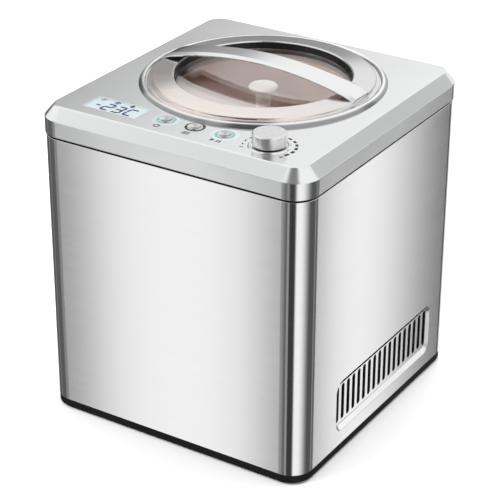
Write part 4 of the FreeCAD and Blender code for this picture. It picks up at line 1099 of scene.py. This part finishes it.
def knob_surround():
    at = middle("knob_base_ring")
    r = (KNOB_RING_HIGH.x - KNOB_RING_LOW.x) / 2
    top = KNOB_RING_HIGH.z
    path = softened([(r, TOP, 0.0), (r, TOP + 0.4 * MM, 0.3 * MM), (r - 1.0 * MM, top, 0.6 * MM),
                     (r - 2.2 * MM, top, 0.6 * MM), (r - 3.0 * MM, TOP + 0.7 * MM, 0.4 * MM),
                     (6.0 * MM, TOP + 0.7 * MM, 0.2 * MM), (6.0 * MM, TOP, 0.0)], 5, 0.15 * MM)
    bm = turned(path, 128, at.x, at.y)
    return finish_piece(mesh_object("knob_surround", bm), TRIM, "housing", "bright_trim",
                        "knob_base_ring")


def knob_scale():
    """Dashes that grow round the knob, printed on the cover."""
    at = middle("knob")
    bm = bmesh.new()
    half_w, half_l = 0.6 * MM, 1.5 * MM
    flat_shape(bm, [(-half_w, -half_l), (half_w, -half_l), (half_w, half_l), (-half_w, half_l)],
               TOP)
    obj = mesh_object("knob_scale", bm, False)
    grow(obj, ARC_TREE, Count=13, Radius=23.6 * MM, Start=math.radians(200.0),
         Sweep=math.radians(-220.0),
         Growth=2.6, Height=0.0, Material=INK)
    for vertex in obj.data.vertices:
        vertex.co += Vector((at.x, at.y, 0.0))
    return finish_piece(obj, INK, "housing", "black_plastic")


def panel_marks():
    """Minus and plus beside the scale, and a small sign below each button."""
    bm = bmesh.new()
    knob_at = middle("knob")
    z = TOP
    minus = Vector((knob_at.x - 19.5 * MM, knob_at.y - 14.2 * MM))
    plus = Vector((knob_at.x + 20.5 * MM, knob_at.y - 14.6 * MM))
    reach, line = 2.0 * MM, 0.9 * MM
    flat_shape(bm, bar(minus - Vector((reach, 0)), minus + Vector((reach, 0)), line), z)
    flat_shape(bm, bar(plus - Vector((reach, 0)), plus + Vector((reach, 0)), line), z)
    flat_shape(bm, bar(plus - Vector((0, reach)), plus + Vector((0, reach)), line), z + 0.01 * MM)
    below = 15.0 * MM
    power, menu, start = (middle(n + "_button_ring") for n in BUTTONS)
    for k in range(20):
        a = math.radians(130 + 280 * k / 19)
        b = math.radians(130 + 280 * (k + 1) / 19)
        if k == 19:
            break
        centre = Vector((power.x, power.y - below))
        p = centre + Vector((math.cos(a), math.sin(a))) * 2.7 * MM
        q = centre + Vector((math.cos(b), math.sin(b))) * 2.7 * MM
        flat_shape(bm, bar(p, q, 1.0 * MM), z)
    flat_shape(bm, bar((power.x, power.y - below + 0.4 * MM), (power.x, power.y - below + 3.6 * MM),
                       1.0 * MM), z)
    for k in (-1, 0, 1):
        y = menu.y - below + 2.1 * MM * k
        flat_shape(bm, bar((menu.x - 3.6 * MM, y), (menu.x + 3.6 * MM, y), 1.0 * MM), z)
    x, y = start.x, start.y - below
    flat_shape(bm, [(x - 5.2 * MM, y - 2.5 * MM), (x - 0.8 * MM, y), (x - 5.2 * MM, y + 2.5 * MM)],
               z)
    for dx in (1.6 * MM, 4.2 * MM):
        flat_shape(bm, bar((x + dx, y - 2.5 * MM), (x + dx, y + 2.5 * MM), 1.2 * MM), z)
    return finish_piece(mesh_object("panel_marks", bm, False), INK, "housing", "black_plastic")


# ---- bowl and paddle ----------------------------------------------------------------------
def bowl():
    r = 80.0 * MM
    r_in = r - 1.5 * MM
    low, high = BOWL_LOW.z, BOWL_HIGH.z
    floor = low + 1.5 * MM
    lip_r = (BOWL_HIGH.x - BOWL_LOW.x) / 2
    tube_top = low + 36 * MM
    path = softened(
        [(7.5 * MM, low, 0.3 * MM), (r, low, 5 * MM), (r, high - 1.9 * MM, 0.3 * MM),
         (lip_r, high - 1.9 * MM, 0.6 * MM), (lip_r, high, 0.8 * MM), (r_in, high, 1.0 * MM),
         (r_in, floor, 5 * MM), (11 * MM, floor, 2 * MM), (11 * MM, tube_top, 0.8 * MM),
         (7.5 * MM, tube_top, 0.5 * MM)], 6)
    bm = turned(path, 160, WELL.x, WELL.y)
    return finish_piece(mesh_object("bowl_shell", bm), BOWL_COAT, "bowl", "bowl_metal", "bowl")


def paddle_cap():
    """Finger cap and stem, smooth over the scraper frames."""
    top = PADDLE_TOP
    cap_r, stem_r = 13.8 * MM, 7.0 * MM
    low = BOWL_LOW.z + 60 * MM
    path = softened(
        [(0.0, low, 0.0), (stem_r + 0.1 * MM, low, 0.5 * MM),
         (stem_r + 0.1 * MM, top - 7.5 * MM, 3.0 * MM),
         (cap_r - 2.0 * MM, top - 5.2 * MM, 1.5 * MM), (cap_r, top - 2.6 * MM, 1.6 * MM),
         (cap_r - 2.6 * MM, top - 0.2 * MM, 3.0 * MM), (0.0, top + 0.1 * MM, 0.0)], 8, 0.2 * MM,
         False)
    bm = turned(path, 96, WELL.x, WELL.y, False)
    return finish_piece(mesh_object("paddle_cap", bm), WHITE, "paddle", "white_plastic")


# ---- build the object ---------------------------------------------------------------------
paint_cad_nodes()
steel_casing()
for side in (-1, 1):
    vent_panel(side)
    vent_shade_sheet(side)
top_cover()
seam_shadow()
base_shell()
collar()
lid_band_ring()
lid_inner_wall()
window()
handle()
lens()
display_marks()
for name in BUTTONS:
    button_cap(name)
button_surround("power", LIT_RING, "light_ring")
button_surround("menu", DARK_RING, "dark_ring")
button_surround("start", LIT_RING, "light_ring")
knob_cap()
knob_surround()
knob_scale()
panel_marks()
bowl()
paddle_cap()


# ---- floor, lights and camera -------------------------------------------------------------
FLOOR_HALF = 4.0


def floor():
    bm = bmesh.new()
    half = FLOOR_HALF
    places = ((-half, -half), (half, -half), (half, half), (-half, half))
    corners = [bm.verts.new((x, y, 0.0)) for x, y in places]
    bm.faces.new(corners)
    obj = mesh_object("floor", bm)
    f = Finish("floor_paper", (0.93, 0.93, 0.93), 0.0, 0.7)
    f.set("Roughness", f.spread(f.noise(3.0, 2.0), 0.65, 0.75))
    obj.data.materials.append(f.material)
    obj.visible_glossy = False


def softbox(name, at, aim, size, power):
    """Soft lamp for floor and matt surfaces; the metals mirror the studio round them instead."""
    data = bpy.data.lights.new(name, "AREA")
    data.shape = "RECTANGLE"
    data.size, data.size_y = size
    data.energy = power
    lamp = bpy.data.objects.new(name, data)
    bpy.context.scene.collection.objects.link(lamp)
    lamp.location = at
    lamp.rotation_euler = (Vector(aim) - Vector(at)).to_track_quat("-Z", "Y").to_euler()
    lamp.visible_glossy = False


# Edges of the white and black cards round the studio, as (start, end, change of light) with
# angles in degrees about the object, 0 in front, 90 on its right, growing anticlockwise.
CARD_BASE = 0.95
CARD_EDGES = (
    (-162.0, -150.0, -0.90), (-139.0, -136.0, 0.25), (-134.0, -131.0, -0.15),
    (-108.0, -101.0, -0.08), (-97.0, -93.0, 0.15),
    (-87.0, -83.0, -0.10), (-56.0, -48.0, 0.15), (-38.9, -36.7, 0.87), (-32.5, -30.9, -0.80),
    (-28.0, -9.0, -0.20), (-6.0, -4.0, 0.20), (4.0, 6.0, -0.29), (29.0, 41.0, 1.02),
    (55.0, 108.0, -0.97), (131.0, 133.0, 0.20), (137.0, 139.0, -0.16), (150.0, 150.8, 1.22),
    (152.0, 154.9, -1.31), (160.0, 176.0, 0.92),
)
# Changes of light by the single cards, and the lean of the shaded ceiling's edge.
CEILING_LIGHT = 1.04
CEILING_SHADE = 0.66
RIGHT_CARD = 0.46
CORNER_CARD = 0.25
FRONT_CARD = 0.8
HIGH_CARD = 0.9
LOW_BACK_CARD = 0.75
SHADE_RISE = 20.0
SHADE_LEAN = 1.71


def studio():
    """White to the eye; what the metals mirror are tall cards and a shaded ceiling."""
    world = bpy.data.worlds.new("studio")
    bpy.context.scene.world = world
    world.use_nodes = True
    tree = world.node_tree
    way = node(tree, "ShaderNodeTexCoord")
    x, y, z = (node(tree, "ShaderNodeSeparateXYZ", {}, [way], k) for k in range(3))
    degree = 180 / math.pi
    around = x.math("ARCTAN2", 0.0 - y) * degree
    rise = z.math("ARCSINE") * degree
    cards = CARD_BASE
    for start, end, change in CARD_EDGES:
        cards = cards + around.edge(start, end, 0.0, change)
    slant = (0.0 - around) + (rise - SHADE_RISE) * SHADE_LEAN
    right_card = around.edge(140.0, 147.0) * around.edge(160.0, 154.0) * RIGHT_CARD
    corner_card = around.edge(-52.0, -44.0) * around.edge(-34.0, -40.0) * CORNER_CARD
    corner_card = corner_card + around.edge(-30.0, -4.0) * around.edge(60.0, 36.0) * FRONT_CARD
    behind_left = around.edge(-100.0, -110.0) * around.edge(-180.0, -170.0)
    shade = behind_left * slant.edge(149.6, 147.6, 0.0, CEILING_SHADE)
    ceiling = CEILING_LIGHT - shade - right_card - corner_card
    high_card = around.edge(100.0, 125.0) * around.edge(150.0, 147.0) * rise.edge(-14.0, -4.0)
    cards = cards + high_card * HIGH_CARD
    low_back = around.edge(160.0, 170.0) + around.edge(-162.0, -172.0)
    cards = cards - low_back * rise.edge(-33.0, -39.0) * LOW_BACK_CARD
    upward = rise.edge(0.0, 12.0)
    light = cards * (1.0 - upward) + ceiling * upward
    mirrored = node(tree, "ShaderNodeLightPath", output="Is Glossy Ray")
    strength = light * mirrored + (1.0 - mirrored) * 1.0
    background = tree.nodes["Background"]
    background.inputs[0].default_value = (1, 1, 1, 1)
    tree.links.new(strength.output, background.inputs[1])


def lights():
    studio()
    softbox("key", (-0.9, -1.1, 1.3), (0, 0, 0.2), (0.9, 0.9), 20)
    softbox("top", (0.2, 0.5, 1.6), (0, 0, 0.3), (1.2, 0.8), 16)


AZIMUTH = math.radians(32.131)
ELEVATION = math.radians(27.046)
ROLL = math.radians(0.192)
DISTANCE = 6.103 * WIDTH
SHIFT_RIGHT = -0.01279 * WIDTH
SHIFT_UP = -0.04387 * WIDTH
LENS_LENGTH = 129.87
SENSOR = 36.0


def camera():
    back = Vector((math.sin(AZIMUTH) * math.cos(ELEVATION),
                   -math.cos(AZIMUTH) * math.cos(ELEVATION),
                   math.sin(ELEVATION)))
    right = Vector((0, 0, 1)).cross(back).normalized()
    up = back.cross(right)
    c, s = math.cos(ROLL), math.sin(ROLL)
    right, up = c * right + s * up, c * up - s * right
    data = bpy.data.cameras.new("camera")
    data.lens = LENS_LENGTH
    data.sensor_width = SENSOR
    obj = bpy.data.objects.new("camera", data)
    bpy.context.scene.collection.objects.link(obj)
    at = Vector((0, 0, TOP / 2)) + back * DISTANCE + right * SHIFT_RIGHT + up * SHIFT_UP
    turn = Matrix((right, up, back)).transposed().to_4x4()
    obj.matrix_world = Matrix.Translation(at) @ turn
    bpy.context.scene.camera = obj


floor()
lights()
camera()
bpy.context.scene.view_settings.view_transform = "Standard"
